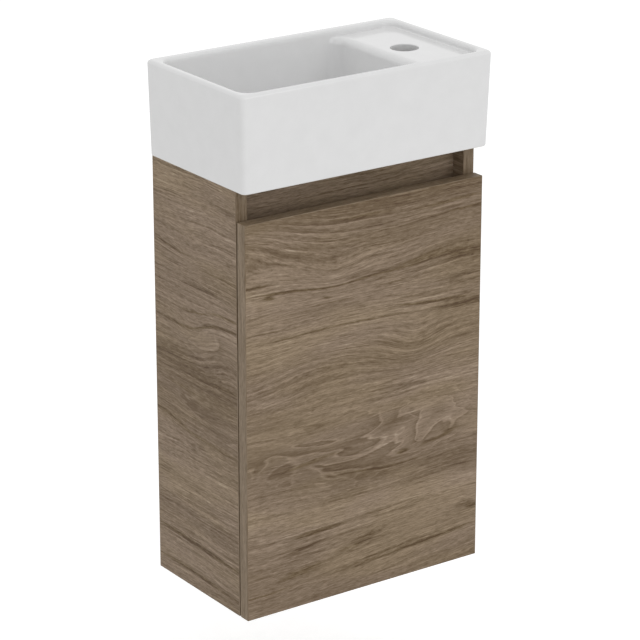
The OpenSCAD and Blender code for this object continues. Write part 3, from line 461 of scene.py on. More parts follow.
def beech(name):
    m, t = material(name)
    fibre = t.stretched(t.place(), 60.0, 1500.0, detail=3.0)
    fleck = t.stretched(t.place(), 240.0, 1100.0, detail=1.0)
    tone = t.plus(fibre, t.remap(fleck, 0.6, 0.7), -0.15)
    t.principled({
        "Base Color": t.ramp(tone, [(0.3, srgb(186, 149, 106)), (0.7, srgb(219, 187, 145))]),
        "Roughness": t.remap(fibre, 0.3, 0.7, 0.7, 0.6), "Normal": t.bump(fibre, 0.08 * MM, 0.5)})
    return m


# Mesh helpers

def in_scene(name, data):
    o = bpy.data.objects.new(name, data)
    bpy.context.scene.collection.objects.link(o)
    return o


def as_object(bm, name):
    """Hands a drawn mesh over to a new object."""
    mesh = bpy.data.meshes.new(name)
    bm.to_mesh(mesh)
    bm.free()
    return in_scene(name, mesh)


def skinned(name, rows):
    """A closed skin through rings of points, from the first ring to the last."""
    bm = bmesh.new()
    rows = [[bm.verts.new(p) for p in row] for row in rows]
    count = len(rows[0])
    for low, high in zip(rows, rows[1:]):
        for i in range(count):
            j = (i + 1) % count
            bm.faces.new((low[i], low[j], high[j], high[i]))
    bm.faces.new(reversed(rows[0]))
    bm.faces.new(rows[-1])
    bmesh.ops.recalc_face_normals(bm, faces=bm.faces)
    return as_object(bm, name)


def ring(z, x0, x1, y0, y1, r, steps=16):
    """Points of a rounded rectangle at one height."""
    points = []
    for k in range(4):
        cx = x1 - r if k in (0, 3) else x0 + r
        cy = y1 - r if k in (0, 1) else y0 + r
        for i in range(steps + 1):
            a = math.radians(90 * (k + i / steps))
            points.append((cx + r * math.cos(a), cy + r * math.sin(a), z))
    return points


def loft(name, sections):
    """A closed skin through rounded rectangles, from the lowest up."""
    return skinned(name, [ring(*s) for s in sections])


def turned(name, centre, axis, profile, steps=96):
    """A closed solid turned round an axis through centre. profile lists (distance along, radius)."""
    rows = []
    for along, radius in profile:
        row = []
        for i in range(steps):
            a = 2 * math.pi * i / steps
            u, v = radius * math.cos(a), radius * math.sin(a)
            p = (u, v, along) if axis == "Z" else (u, -along, v)
            row.append(Vector(centre) + Vector(p))
        rows.append(row)
    return skinned(name, rows)


def flatten(o):
    """Applies an object's modifiers to its mesh."""
    evaluated = o.evaluated_get(bpy.context.evaluated_depsgraph_get())
    mesh = bpy.data.meshes.new_from_object(evaluated)
    o.modifiers.clear()
    o.data = mesh
    return o


def cut(body, *tools):
    """Takes closed solids out of a body and deletes them."""
    for tool in tools:
        mod = body.modifiers.new("cut", "BOOLEAN")
        mod.operation, mod.solver, mod.object = "DIFFERENCE", "EXACT", tool
        flatten(body)
        bpy.data.objects.remove(tool, do_unlink=True)


def smooth(o, angle):
    """Shades a mesh smooth, apart from its edges that are sharper than angle, in degrees. Large faces
    keep their own normals, so that flat ones stay flat up to their rounded edges."""
    o.data.shade_smooth()
    o.data.set_sharp_from_angle(angle=math.radians(angle))
    weigh = o.modifiers.new("flat_faces", "WEIGHTED_NORMAL")
    weigh.keep_sharp, weigh.weight = True, 100
    return flatten(o)


def dress(o, mat):
    o.data.materials.clear()
    o.data.materials.append(mat)


def welded(node):
    """A CAD node's mesh with its loose triangles joined up."""
    bm = bmesh.new()
    bm.from_mesh(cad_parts[node].data)
    bmesh.ops.remove_doubles(bm, verts=bm.verts, dist=WELD)
    return bm


def solids(node):
    """The lowest and highest corners of each separate solid of a CAD node."""
    bm = welded(node)
    left, boxes = set(bm.verts), []
    while left:
        reached, todo = set(), [left.pop()]
        while todo:
            v = todo.pop()
            reached.add(v)
            for e in v.link_edges:
                w = e.other_vert(v)
                if w in left:
                    left.discard(w)
                    todo.append(w)
        boxes.append([Vector(f(v.co[i] for v in reached) for i in range(3)) for f in (min, max)])
    bm.free()
    return sorted(boxes, key=lambda b: tuple(round(c, 5) for c in b[0]))


def standing_in(o, node, body, finish):
    """Puts a piece in the place of a CAD node, on its body and with its finish."""
    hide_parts(node)
    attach(o, body)
    dress(o, FINISHES[finish])


def softened(name, node, body, finish, width, only=None):
    """A CAD node's own shape with its sharp edges rounded off, as pressing, casting or trimming
    leaves them. only picks the edges by their middle point."""
    bm = welded(node)
    bmesh.ops.dissolve_limit(bm, angle_limit=math.radians(FLAT), verts=bm.verts, edges=bm.edges)
    edges = [
        e for e in bm.edges
        if len(e.link_faces) == 2 and e.calc_face_angle_signed(0.0) > math.radians(SHARP)
        and (only is None or only((e.verts[0].co + e.verts[1].co) / 2))]
    bmesh.ops.bevel(bm, geom=edges, offset=width, offset_type="OFFSET", segments=3, profile=0.5,
                    affect="EDGES", clamp_overlap=True)
    standing_in(smooth(as_object(bm, name), angle=32), node, body, finish)


# Pieces that repeat, made with geometry nodes

def piece_group(name, sizes):
    """An empty geometry group that takes points, named sizes and a finish."""
    inputs = {"Places": "Geometry", **{label: "Float" for label in sizes}, "Finish": "Material"}
    return new_group(name, "Geometry", inputs, {"Pieces": "Geometry"})


def place_pieces(t, i, o, piece):
    """Puts a piece drawn along Z on each place, turned to the place's own axis."""
    axis = t.node("GeometryNodeInputNamedAttribute", {"Name": "axis"}, data_type="FLOAT_VECTOR").outputs[0]
    turn = t.node("FunctionNodeAlignRotationToVector", {"Vector": axis}, axis="Z").outputs[0]
    put = t.node("GeometryNodeInstanceOnPoints", {
        "Points": i["Places"], "Instance": piece, "Rotation": turn})
    real = t.node("GeometryNodeRealizeInstances", {0: put.outputs[0]})
    done = t.node("GeometryNodeSetMaterial", {"Geometry": real.outputs[0], "Material": i["Finish"]})
    t.put(o[0], done.outputs[0])


def raised(t, shape, height):
    return t.node("GeometryNodeTransform", {0: shape, "Translation": t.join(0.0, 0.0, height)}).outputs[0]


def cone(t, low, high, height, base=0.0, sides=32, segments=1):
    """A cone or rod up from base, with the radius low at its foot and high at its top."""
    n = t.node("GeometryNodeMeshCone", {
        "Vertices": sides, "Side Segments": segments, "Radius Top": high, "Radius Bottom": low,
        "Depth": height})
    return raised(t, n.outputs[0], base)


SCREW_SIZES = "Shank radius", "Head radius", "Head height", "Pitch", "Thread depth", "Tip length"


def make_threaded_screw():
    """A screw with a domed, cross-recessed head, a core, a helical thread and a tapered tip. Its
    length is what lies under the head."""
    t, g, i, o = piece_group("threaded_screw", ["Length", "Dome", "Drive width", *SCREW_SIZES])
    head_r, head_h, pitch, depth = (i[label] for label in (
        "Head radius", "Head height", "Pitch", "Thread depth"))

    # the head, with two crossed slots cut into it
    head = cone(t, t.minus(head_r, i["Dome"]), head_r, head_h, sides=48)
    span, deep = t.times(head_r, 1.3), t.times(i["Drive width"], 2.4)
    cut_head = t.node("GeometryNodeMeshBoolean", {"Mesh 1": head, "Self Intersection": True},
                      operation="DIFFERENCE", solver="EXACT")
    for size in (t.join(span, i["Drive width"], deep), t.join(i["Drive width"], span, deep)):
        t.put(cut_head.inputs["Mesh 2"], t.node("GeometryNodeMeshCube", {"Size": size}).outputs[0])

    # the core, which starts a little inside the head, and the tip
    core_r = t.minus(i["Shank radius"], depth)
    straight = t.minus(i["Length"], i["Tip length"])
    start = t.minus(head_h, 0.05 * MM)
    core = cone(t, core_r, core_r, straight, start)
    tip = cone(t, core_r, t.times(core_r, 0.3), i["Tip length"], t.plus(start, straight))

    # the thread: a diamond drawn along a helix that ends short of the tip
    rise = t.minus(straight, t.times(pitch, 0.8))
    helix = t.node("GeometryNodeCurveSpiral", {
        "Resolution": 20, "Rotations": t.math("DIVIDE", rise, pitch), "Start Radius": core_r,
        "End Radius": core_r, "Height": rise})
    level = t.node("GeometryNodeSetCurveNormal", {"Curve": helix.outputs[0]}, mode="Z_UP")
    diamond = t.node("GeometryNodeCurvePrimitiveCircle", {"Resolution": 4, "Radius": 1.0})
    profile = t.node("GeometryNodeTransform", {
        0: diamond.outputs[0], "Scale": t.join(depth, t.times(pitch, 0.36), 1.0)})
    ridge = t.node("GeometryNodeCurveToMesh", {
        "Curve": level.outputs[0], "Profile Curve": profile.outputs[0], "Fill Caps": True})
    thread = raised(t, ridge.outputs[0], t.plus(head_h, pitch, 0.5))

    joined = t.node("GeometryNodeJoinGeometry")
    for part in (cut_head.outputs["Mesh"], core, tip, thread):
        t.put(joined.inputs[0], part)
    place_pieces(t, i, o, joined.outputs[0])
    return g


def make_fluted_dowel():
    """A dowel with glue flutes along it and tapered ends."""
    t, g, i, o = piece_group("fluted_dowel", ["Length", "Radius", "Flutes", "Flute depth", "Taper"])
    rod = cone(t, i["Radius"], i["Radius"], i["Length"], sides=80, segments=12)
    x, y, z = t.split(t.node("GeometryNodeInputPosition").outputs[0])
    wave = t.math("COSINE", t.times(t.math("ARCTAN2", y, x), i["Flutes"]))
    flute = t.times(t.math("POWER", t.plus(0.5, wave, 0.5), 2.0), i["Flute depth"])
    half = t.times(i["Length"], 0.5)
    from_middle = t.math("DIVIDE", t.math("ABSOLUTE", t.minus(z, half)), half)
    end = t.times(t.remap(from_middle, 0.86, 1.0, curve="LINEAR"), i["Taper"])
    shrink = t.minus(1.0, t.math("DIVIDE", t.plus(flute, end), i["Radius"]))
    shaped = t.node("GeometryNodeSetPosition", {
        "Geometry": rod, "Position": t.join(t.times(x, shrink), t.times(y, shrink), z)})
    place_pieces(t, i, o, shaped.outputs[0])
    return g


def made(group, places, axes, sizes):
    """One mesh of a group's pieces, all of the same sizes."""
    mesh = bpy.data.meshes.new("places")
    mesh.from_pydata(places, [], [])
    axis = mesh.attributes.new("axis", "FLOAT_VECTOR", "POINT")
    axis.data.foreach_set("vector", [part for a in axes for part in a])
    o = in_scene("places", mesh)
    mod = o.modifiers.new("pieces", "NODES")
    mod.node_group = group
    for item in group.interface.items_tree:
        if item.in_out == "INPUT" and item.name in sizes:
            mod[item.identifier] = sizes[item.name]
    mesh = flatten(o).data
    bpy.data.objects.remove(o, do_unlink=True)
    return mesh


def repeated(name, group, node, body, finish, direction, sizes):
    """Makes the group's piece in place of every solid of a CAD node. It points in the direction given,
    or where that is None, away from the middle of the unit."""
    by_length = {}
    for low, high in solids(node):
        middle = (low + high) / 2
        axis = Vector(direction or (math.copysign(1, middle.x), 0, 0))
        length = abs((high - low).dot(axis))
        by_length.setdefault(round(length, 5), []).append((middle - axis * length / 2, axis))
    bm = bmesh.new()
    for length, found in sorted(by_length.items()):
        under_head = length - sizes.get("Head height", 0.0)
        places, axes = zip(*found)
        bm.from_mesh(made(group, places, axes, {**sizes, "Finish": FINISHES[finish], "Length": under_head}))
    standing_in(smooth(as_object(bm, name), angle=40), node, body, finish)


# The basin: the same rule of rounded rectangles as the frame's solid, drawn much finer

def quarter_turn(steps=14):
    """Even angles from 0 to 90 degrees, for a rounded edge."""
    return [math.pi / 2 * i / steps for i in range(steps + 1)]


class Basin:
    """Heights count from the basin's underside. A section is a height, the left, right, front and back
    of a rounded rectangle, and its corner radius."""
    W, D, H = (round(size, 6) for size in BASIN_HIGH - BASIN_LOW)
    SIDE_DRAFT, FRONT_DRAFT = 3.9 * MM, 2.9 * MM      # how far the outside leans in at the foot
    RIM_SIDE, RIM_FRONT, RIM_BACK = 11 * MM, 10 * MM, 14 * MM
    RIM_R, FOOT_R, CORNER_R, FOOT_CORNER_R = 4.5 * MM, 2 * MM, 7 * MM, 6 * MM
    BOWL_R, BOWL_DRAFT, FILLET_R = 16 * MM, 4 * MM, 24 * MM
    BOWL_DEPTH, FALL = 84 * MM, 4 * MM                # the bowl's floor falls towards the waste
    WALL, BACK_WALL = 9 * MM, 13 * MM
    LEDGE_W, LEDGE_DROP, LEDGE_FALL = 83 * MM, 8 * MM, 1 * MM     # it lies lower than the rim and slopes
    ROLL_R, FLARE = 10 * MM, 2 * MM                   # rounds of the ledge, at the bowl and at the rim
    TAP, TAP_R, TAP_EDGE_R, TAP_DROP = (122.5 * MM, -108 * MM), 17.5 * MM, 1.5 * MM, 0.4 * MM
    WASTE_R, SEAT_R, SEAT_DEPTH, SEAT_BEVEL = 23 * MM, 32 * MM, 2.5 * MM, 0.6 * MM
    BOSS_R, BOSS_H, BOSS_BEVEL = 36 * MM, 18 * MM, 2 * MM
    BOLT_X, BOLT_Z, BOLT_R, BOLT_REACH = 90 * MM, 14 * MM, 6 * MM, 54 * MM
    PAST, ABOVE, BELOW = 5 * MM, 2 * MM, 1 * MM       # how far cutting shapes pass holes, rim and foot

    BOWL_FLOOR = H - BOWL_DEPTH
    LOW = BOWL_FLOOR - FALL                           # the bowl at its waste
    LEDGE = H - LEDGE_DROP
    LEDGE_AT_BOWL = LEDGE - LEDGE_FALL
    UNDER_LEDGE = LEDGE_AT_BOWL - WALL
    IN_X, IN_FRONT, IN_BACK = W / 2 - RIM_SIDE, -(D - RIM_FRONT), -RIM_BACK
    LEDGE_X = IN_X - LEDGE_W
    WASTE = ((LEDGE_X - IN_X) / 2, (IN_FRONT + IN_BACK) / 2)

    def outer(self, z, inset, r):
        """A section of the outside, which leans in towards the foot."""
        lean = max(0, 1 - z / (self.H - self.RIM_R))
        half = self.W / 2 - self.SIDE_DRAFT * lean - inset
        return z, -half, half, -self.D + self.FRONT_DRAFT * lean + inset, -inset, r

    def bowl(self, z, inset, grow, r, right=None):
        """A section of the bowl, made larger by grow. right is its right side, if not the bowl's own."""
        draft = self.BOWL_DRAFT * (self.H - z) / self.BOWL_DEPTH
        if right is None:
            right = self.LEDGE_X - draft + grow - inset
        return (z, -self.IN_X + draft - grow + inset, right,
                self.IN_FRONT + draft - grow + inset, self.IN_BACK - draft + grow - inset, r)

    def bottom(self, grow):
        """The bowl from its waste up to the top of the fillet round its floor."""
        x, y = self.WASTE
        half = self.BOSS_R + grow / 2
        fillet = self.FILLET_R + grow
        rows = [(self.LOW - grow, x - half, x + half, y - half, y + half, self.SEAT_R)]
        for a in quarter_turn():
            rows.append(self.bowl(self.BOWL_FLOOR - grow + fillet * (1 - math.cos(a)),
                                  fillet * (1 - math.sin(a)), grow, self.BOWL_R + grow / 2))
        return rows

    def block(self):
        """The outside, from the rounded foot to the rounded rim."""
        rows = []
        for a in quarter_turn(6):
            z, inset = self.FOOT_R * (1 - math.cos(a)), self.FOOT_R * (1 - math.sin(a))
            rows.append(self.outer(z, inset, self.FOOT_CORNER_R))
        for a in quarter_turn():
            z, inset = self.H - self.RIM_R * (1 - math.sin(a)), self.RIM_R * (1 - math.cos(a))
            rows.append(self.outer(z, inset, self.CORNER_R - inset / 2))
        return rows

    def opening(self, z, grow):
        """A section of the opening inside the rim."""
        return (z, -self.IN_X - grow, self.IN_X + grow, self.IN_FRONT - grow, self.IN_BACK + grow,
                self.BOWL_R + grow)

    def cavity(self):
        """What is open from above: the bowl, its rolled edge along the ledge, the ledge and the rim."""
        rows = self.bottom(0)
        roll_base = self.LEDGE_AT_BOWL - self.ROLL_R
        edge = self.LEDGE_X - self.BOWL_DRAFT * (self.H - roll_base) / self.BOWL_DEPTH
        for a in quarter_turn():
            rows.append(self.bowl(roll_base + self.ROLL_R * math.sin(a), 0, 0, self.BOWL_R,
                                  edge + self.ROLL_R * (1 - math.cos(a))))
        for a in quarter_turn(8):
            rows.append(self.bowl(self.LEDGE + self.FLARE * (1 - math.cos(a)), 0, 0, self.BOWL_R,
                                  self.IN_X - self.FLARE * (1 - math.sin(a))))
        for a in quarter_turn():
            z, grow = self.H - self.RIM_R * (1 - math.sin(a)), self.RIM_R * (1 - math.cos(a))
            rows.append(self.opening(z, grow))
        return rows + [self.opening(self.H + self.ABOVE, self.RIM_R)]

    def hollow(self):
        """The underside's hollow, without the bowl's skin and the waste boss that stand in it."""
        half = self.W / 2 - self.SIDE_DRAFT - self.WALL
        front = -(self.D - self.FRONT_DRAFT) + self.WALL
        hollow = loft("hollow", [
            (z, -half, half + self.SIDE_DRAFT * z / self.H, front, -self.BACK_WALL, self.CORNER_R)
            for z in (-self.BELOW, self.UNDER_LEDGE)])
        top = self.bowl(self.UNDER_LEDGE + self.PAST, 0, self.WALL, self.BOWL_R + self.WALL / 2)
        foot = self.LOW - self.BOSS_H
        boss = turned("boss", (*self.WASTE, 0), "Z", [
            (foot, self.BOSS_R - self.BOSS_BEVEL), (foot + self.BOSS_BEVEL, self.BOSS_R),
            (self.BOWL_FLOOR, self.BOSS_R)])
        cut(hollow, loft("skin", self.bottom(self.WALL) + [top]), boss)
        return hollow

    def tap_hole(self):
        r = self.TAP_EDGE_R
        rounded = [(self.LEDGE - self.TAP_DROP - r + r * math.sin(a), self.TAP_R + r * (1 - math.cos(a)))
                   for a in quarter_turn(8)]
        return turned("tap", (*self.TAP, 0), "Z", [
            (self.UNDER_LEDGE - self.PAST, self.TAP_R), *rounded, (self.H, self.TAP_R + r)])

    def waste_hole(self):
        seat, wide = self.LOW - self.SEAT_DEPTH, self.SEAT_R + 2 * self.SEAT_BEVEL
        return turned("waste", (*self.WASTE, 0), "Z", [
            (-self.PAST, self.WASTE_R), (seat, self.WASTE_R), (seat, self.SEAT_R),
            (self.LOW - self.SEAT_BEVEL, self.SEAT_R), (self.LOW + self.SEAT_BEVEL, wide),
            (self.BOWL_FLOOR, wide)])

    def bolt_hole(self, side):
        return turned("bolt", (side * self.BOLT_X, 0, self.BOLT_Z), "Y", [
            (-self.PAST, self.BOLT_R), (self.BOLT_REACH, self.BOLT_R)], 48)

    def build(self):
        body = loft("glazed_basin", self.block())
        cut(body, loft("cavity", self.cavity()), self.hollow(), self.tap_hole(), self.waste_hole(),
            self.bolt_hole(-1), self.bolt_hole(1))
        for v in body.data.vertices:
            v.co.z += BASE
        return smooth(body, angle=34)


basin = Basin().build()
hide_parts("basin")
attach(basin, "carcass")

# Finishes of the pieces

DOOR_FIGURE = Figure(
    (-HALF_W, DOOR_TOP),
    bends=[
        (-10, 22, 85, 40, -30), (130, 82, 45, 26, 12), (300, 76, 55, 26, -5), (248, 198, 42, 30, 16),
        (105, 198, 70, 28, -8), (60, 345, 60, 30, -6), (230, 332, 60, 24, 9), (380, 462, 220, 60, -16)],
    curls=[
        (30, 288, 66, 34, 80), (130, 322, 84, 42, 72), (232, 308, 92, 44, 74), (312, 316, 48, 30, 50),
        (240, 182, 30, 8, 15), (20, 434, 60, 16, 50), (110, 348, 30, 14, 40)],
    rings=[
        (90, 28, 110, 30, 115), (255, 188, 100, 26, 70), (60, 196, 90, 16, 40), (260, 60, 90, 14, 50),
        (170, 352, 150, 18, 45)],
    zones=[
        (60, 322, 42, 14, -6), (150, 340, 30, 18, -7), (205, 290, 34, 8, -6), (175, 6, 400, 16, -16),
        (175, 46, 300, 15, -14), (175, 104, 400, 18, 8), (240, 172, 300, 22, 8), (175, 205, 300, 12, 6),
        (175, 424, 300, 16, 6), (180, 98, 34, 7, -12), (60, 182, 130, 16, 10), (300, 186, 90, 18, 6),
        (60, 100, 90, 10, -5), (300, 90, 90, 18, -10), (215, 292, 40, 12, -7), (60, 330, 50, 14, -5),
        (250, 400, 160, 20, 12), (180, 360, 220, 16, -4), (120, 498, 160, 14, -5)],
    marks=[
        (105, 411, 38, 5.0, -4, -24), (248, 412, 40, 3.6, 0, -25), (165, 443, 36, 5.5, -20, -27),
        (84, 458, 32, 5.5, -6, -24), (215, 467, 78, 4.4, 0, -22), (330, 432, 12, 4.0, 0, -20),
        (220, 408, 80, 1.2, -2, -26), (290, 466, 60, 2.2, 0, -22), (118, 111, 7, 2.0, 10, -26),
        (33, 94, 8, 2.4, 10, -34), (265, 84, 50, 4.0, 0, -18), (225, 107, 36, 3.0, -4, -18),
        (332, 92, 34, 6.0, 0, -18), (280, 144, 58, 1.9, 3, -36), (325, 156, 34, 3.2, 2, -30),
        (120, 152, 130, 1.3, 0, -28), (60, 140, 90, 1.0, 0, -16), (70, 91, 62, 1.6, 0, -32),
        (150, 97, 95, 1.1, 0, -24), (10, 74, 20, 1.4, 0, -26), (130, 119, 34, 1.0, 0, -20),
        (232, 336, 8, 2.2, 0, -32), (205, 348, 60, 1.5, 0, -26), (292, 330, 32, 1.9, -10, -24),
        (100, 316, 36, 2.4, -12, -20), (345, 438, 12, 3.2, 0, -26), (80, 429, 30, 1.6, -12, -20),
        (20, 476, 50, 1.6, 0, -20), (100, 206, 70, 1.6, 0, -16), (210, 212, 34, 2.4, 0, -14),
        (300, 24, 50, 2.0, 0, -18), (180, 18, 40, 2.4, 0, -14), (330, 38, 40, 1.5, 0, -14),
        (272, 138, 24, 0.9, 3, 22), (240, 75, 60, 1.0, 0, 18), (20, 54, 46, 2.0, 0, 10),
        (250, 208, 70, 1.0, 0, 16), (225, 204, 60, 0.9, 0, 12), (250, 297, 10, 0.9, 60, 18)])
SIDE_FIGURE = Figure(
    (CARCASS_FRONT, BASE),
    bends=[
        (20, 215, 60, 34, -16), (110, 105, 60, 22, 7), (90, 200, 40, 20, 8), (185, 325, 110, 34, -12),
        (182, 480, 120, 40, -6)],
    curls=[
        (45, 212, 44, 18, 80), (95, 296, 44, 18, 70), (20, 322, 50, 18, 50), (120, 220, 40, 14, 40)],
    rings=[
        (60, 150, 110, 30, 60), (90, 265, 110, 22, 50)],
    zones=[
        (90, 262, 140, 28, -16), (90, 320, 160, 24, -10), (90, 410, 160, 46, 10), (90, 20, 160, 20, -2)],
    marks=[
        (36, 118, 50, 1.7, 0, -34), (20, 166, 44, 2.0, 6, -26), (50, 184, 66, 2.0, 10, -32),
        (130, 200, 50, 1.6, 5, -24), (90, 176, 40, 1.2, 5, -20), (150, 106, 40, 1.5, 0, -20),
        (120, 84, 50, 1.0, 0, -16), (60, 340, 70, 1.8, 0, -26), (160, 326, 34, 2.4, -6, -36),
        (60, 485, 90, 2.4, 0, -40), (150, 479, 40, 1.8, 0, -24), (90, 525, 110, 2.0, -3, -28),
        (40, 260, 50, 1.5, 0, -16), (120, 282, 40, 1.4, 0, -16), (70, 64, 40, 1.2, 0, -12),
        (52, 210, 14, 1.0, 30, 20), (66, 222, 16, 1.0, -20, 16), (92, 302, 10, 1.4, 20, 18),
        (90, 385, 120, 1.6, 0, 8)])

FINISHES = {
    "ceramic": glazed_ceramic("white_glaze"),
    "door": walnut("walnut_door", "X", "Y", 11.6, 0.35, streaks=0.15, figure=DOOR_FIGURE),
    "side": walnut("walnut_side", "Y", "X", 0.55, 0.40, streaks=0.2, figure=SIDE_FIGURE),
    "right_side": walnut("walnut_right_side", "Y", "X", 1.3, 0.8, curl=0.05),
    # painted light: the fascia's tone is raised to lighten the shade of the recess it stands in
    "fascia": walnut("walnut_fascia", "X", "Y", 0.9, 0.5, painted_light_lift=0.03, banded=[("Z", -1)]),
    "level": walnut("walnut_level_board", "X", "Z", 0.4, 0.9, banded=[("Y", -1)]),
    "rail": walnut("walnut_rail", "X", "Y", 0.1, 0.7, banded=[("Z", 1), ("Z", -1)]),
    # painted shade: the carcass bands, the upright ones most, are darkened to the shade of the recess, and
    # the door's level bands to the basin's shade on the door's top
    "carcass_band": edge_band("walnut_carcass_band", HALF_W - BOARD - SEAM, 0.10, 0.06),
    "door_band": edge_band("walnut_door_band", HALF_W - BAND - SEAM, 0.05, 0.13),
    "nickel": metal("nickel_plate", (190, 188, 184), (206, 204, 200), 0.22, 9 * MM, 0.02 * MM),
    "zinc_casting": metal("zinc_casting", (150, 151, 153), (184, 185, 187), 0.42, 3 * MM, 0.08 * MM),
    "zinc_plate": metal("bright_zinc_plate", (176, 179, 182), (203, 206, 209), 0.28, 6 * MM, 0.03 * MM),
    "nylon": moulded("grey_nylon", (196, 196, 191), (208, 208, 204), 0.48),
    "beech": beech("bare_beech"),
    "bumper": moulded("clear_bumper", (214, 216, 214), (226, 228, 226), 0.25, 0.5),
}

# The boards' own CAD nodes are shown, each with a finish
BOARDS = {
    "left_panel": "side", "right_panel": "right_side", "bottom_panel": "level", "recess_fascia": "fascia",
    "rear_top_rail": "rail", "rear_bottom_rail": "rail", "shelf": "level", "door_panel": "door",
}

dress(basin, FINISHES["ceramic"])
for node, finish in BOARDS.items():
    dress(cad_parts[node], FINISHES[finish])


# Bands, castings and pressings whose edges are not quite sharp

def on_door_outline(p):
    return abs(p.x) > HALF_W - NEAR or p.z > DOOR_TOP - NEAR or p.z < CARCASS_LOW + NEAR


def on_carcass_front(p):
    """Also the lower outer corners of the side panels, and the front of the shelf."""
    at_foot = abs(p.x) > HALF_W - NEAR and p.z < CARCASS_LOW + NEAR
    return p.y < CARCASS_FRONT + NEAR or at_foot or abs(p.y - SHELF_FRONT) < NEAR


softened("soft_door_bands", "door_edge_bands", "door", "door_band", 0.45 * MM, on_door_outline)
softened("soft_carcass_bands", "carcass_edge_bands", "carcass", "carcass_band", 0.35 * MM, on_carcass_front)
for name, node, body, finish, width in [
        ("moulded_housings", "hanger_housings", "carcass", "nylon", 0.5),
        ("bent_hooks", "hanger_hooks", "carcass", "zinc_plate", 0.25),
        ("pressed_wall_plates", "wall_plates", "carcass", "zinc_plate", 0.3),
        ("cast_hinge_plates", "hinge_plates", "carcass", "zinc_casting", 0.3),
        ("pressed_hinge_arms", "hinge_arms", "carcass", "nickel", 0.25),
        ("pressed_hinge_cups", "hinge_cups", "door", "nickel", 0.25),
        ("pressed_outer_links", "outer_links", "outer_link_pair", "nickel", 0.2),
        ("pressed_inner_links", "inner_links", "inner_link_pair", "nickel", 0.2),
        ("turned_arm_pins", "arm_pivot_pins", "carcass", "nickel", 0.1),
        ("turned_link_pins", "inner_link_pins", "inner_link_pair", "nickel", 0.1),
        ("turned_cup_pins", "cup_pivot_pins", "door", "nickel", 0.1),
        ("turned_shelf_pins", "shelf_pins", "carcass", "zinc_plate", 0.2),
        ("turned_cam_bolts", "cam_bolts", "carcass", "zinc_plate", 0.15),
        ("cast_cam_locks", "cam_locks", "carcass", "zinc_casting", 0.2),
        ("moulded_bumpers", "door_bumpers", "door", "bumper", 0.3)]:
    softened(name, node, body, finish, width * MM)

# Screws and dowels
TO_DOOR, TO_WALL, TO_RIGHT = (0, -1, 0), (0, 1, 0), (1, 0, 0)
THREADED_SCREW = make_threaded_screw()
for name, node, body, direction, sizes in [
        ("threaded_cup_screws", "cup_screws", "door", TO_DOOR, (1.75, 3.4, 1.5, 1.4, 0.45, 2.5)),
        ("threaded_plate_screws", "hinge_plate_screws", "carcass", TO_RIGHT,
         (2.5, 4.0, 2.0, 1.8, 0.5, 1.5)),
        ("threaded_arm_screws", "hinge_arm_screws", "carcass", TO_RIGHT, (2.0, 3.4, 1.8, 0.9, 0.35, 0.8)),
        ("threaded_fixing_screws", "hanger_fixing_screws", "carcass", None,
         (1.75, 3.8, 2.5, 1.4, 0.45, 3.0)),
        ("threaded_adjusting_screws", "hanger_adjusting_screws", "carcass", TO_WALL,
         (2.5, 3.0, 2.5, 1.0, 0.4, 0.8))]:
    named = {label: size * MM for label, size in zip(SCREW_SIZES, sizes)}
    repeated(name, THREADED_SCREW, node, body, "zinc_plate", direction,
             {**named, "Dome": 0.7 * MM, "Drive width": 0.9 * MM})
repeated("fluted_dowels", make_fluted_dowel(), "wood_dowels", "carcass", "beech", TO_RIGHT,
         {"Radius": 4 * MM, "Flutes": 20.0, "Flute depth": 0.3 * MM, "Taper": 0.8 * MM})


# Floor, light and camera
FLOOR_R, FLOOR_GLOW = 14.0, 0.35
WORLD_LIGHT, SHOWN_WHITE = 0.80, 1.0


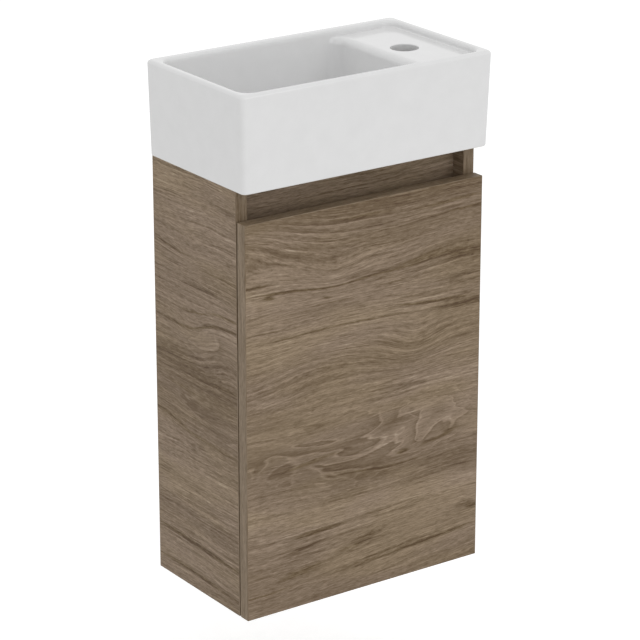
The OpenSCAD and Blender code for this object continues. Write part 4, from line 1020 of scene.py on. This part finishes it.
def make_floor():
    """A white floor that keeps the object's shadow, glows a little for the camera and hides from below."""
    m, t = material("pale_floor")
    fine = t.noise(t.place(), 60.0)
    pale = t.ramp(fine, [(0.3, srgb(246, 246, 246)), (0.7, srgb(250, 250, 250))])
    diffuse = t.node("ShaderNodeBsdfDiffuse", {"Color": pale})
    glow = t.node("ShaderNodeEmission", {"Color": WHITE, "Strength": FLOOR_GLOW})
    both = t.node("ShaderNodeAddShader", {0: diffuse.outputs[0], 1: glow.outputs[0]})
    seen = t.node("ShaderNodeLightPath").outputs["Is Camera Ray"]
    lit = t.node("ShaderNodeMixShader", {0: seen, 1: diffuse.outputs[0], 2: both.outputs[0]})
    below = t.node("ShaderNodeNewGeometry").outputs["Backfacing"]
    clear = t.node("ShaderNodeBsdfTransparent")
    t.surface(t.node("ShaderNodeMixShader", {0: below, 1: lit.outputs[0], 2: clear.outputs[0]}))
    bm = bmesh.new()
    bmesh.ops.create_circle(bm, cap_ends=True, segments=96, radius=FLOOR_R)
    bmesh.ops.translate(bm, vec=(0, 0, ROOM_FLOOR), verts=bm.verts)
    floor = as_object(bm, "floor")
    dress(floor, m)


def make_world():
    """Even light from all round, and full white for the camera and in reflections."""
    world = bpy.data.worlds.new("studio")
    bpy.context.scene.world = world
    world.use_nodes = True
    world.node_tree.nodes.clear()
    t = Tree(world.node_tree)
    rays = t.node("ShaderNodeLightPath").outputs
    shown = t.math("MAXIMUM", rays["Is Glossy Ray"], rays["Is Transmission Ray"])
    shown = t.math("MAXIMUM", rays["Is Camera Ray"], shown)
    light, seen = (t.node("ShaderNodeBackground", {"Color": WHITE, "Strength": strength}).outputs[0]
                   for strength in (WORLD_LIGHT, SHOWN_WHITE))
    mixed = t.node("ShaderNodeMixShader", {0: shown, 1: light, 2: seen})
    t.node("ShaderNodeOutputWorld", {0: mixed.outputs[0]})


def softbox(name, azimuth, elevation, distance, side, power):
    data = bpy.data.lights.new(name, "AREA")
    data.shape, data.size, data.energy = "SQUARE", side, power
    aim_from(in_scene(name, data), azimuth, elevation, distance)


def aim_from(o, azimuth, elevation, distance):
    """Puts a lamp or camera at a direction and distance from AIM, and points it there."""
    a, e = math.radians(azimuth), math.radians(elevation)
    back = Vector((math.sin(a) * math.cos(e), -math.cos(a) * math.cos(e), math.sin(e)))
    o.location = AIM + back * distance
    o.rotation_euler = back.to_track_quat("Z", "Y").to_euler()


make_floor()
make_world()
softbox("front_softbox", 12, 18, 2.6, 1.8, 7)
softbox("top_softbox", -30, 78, 2.4, 2.0, 3.5)

lens = bpy.data.cameras.new("photo_camera")
lens.lens, lens.sensor_width = LENS, SENSOR
camera = in_scene("photo_camera", lens)
aim_from(camera, AZIMUTH, ELEVATION, DISTANCE)
bpy.context.scene.camera = camera
bpy.context.scene.view_settings.view_transform = "Standard"
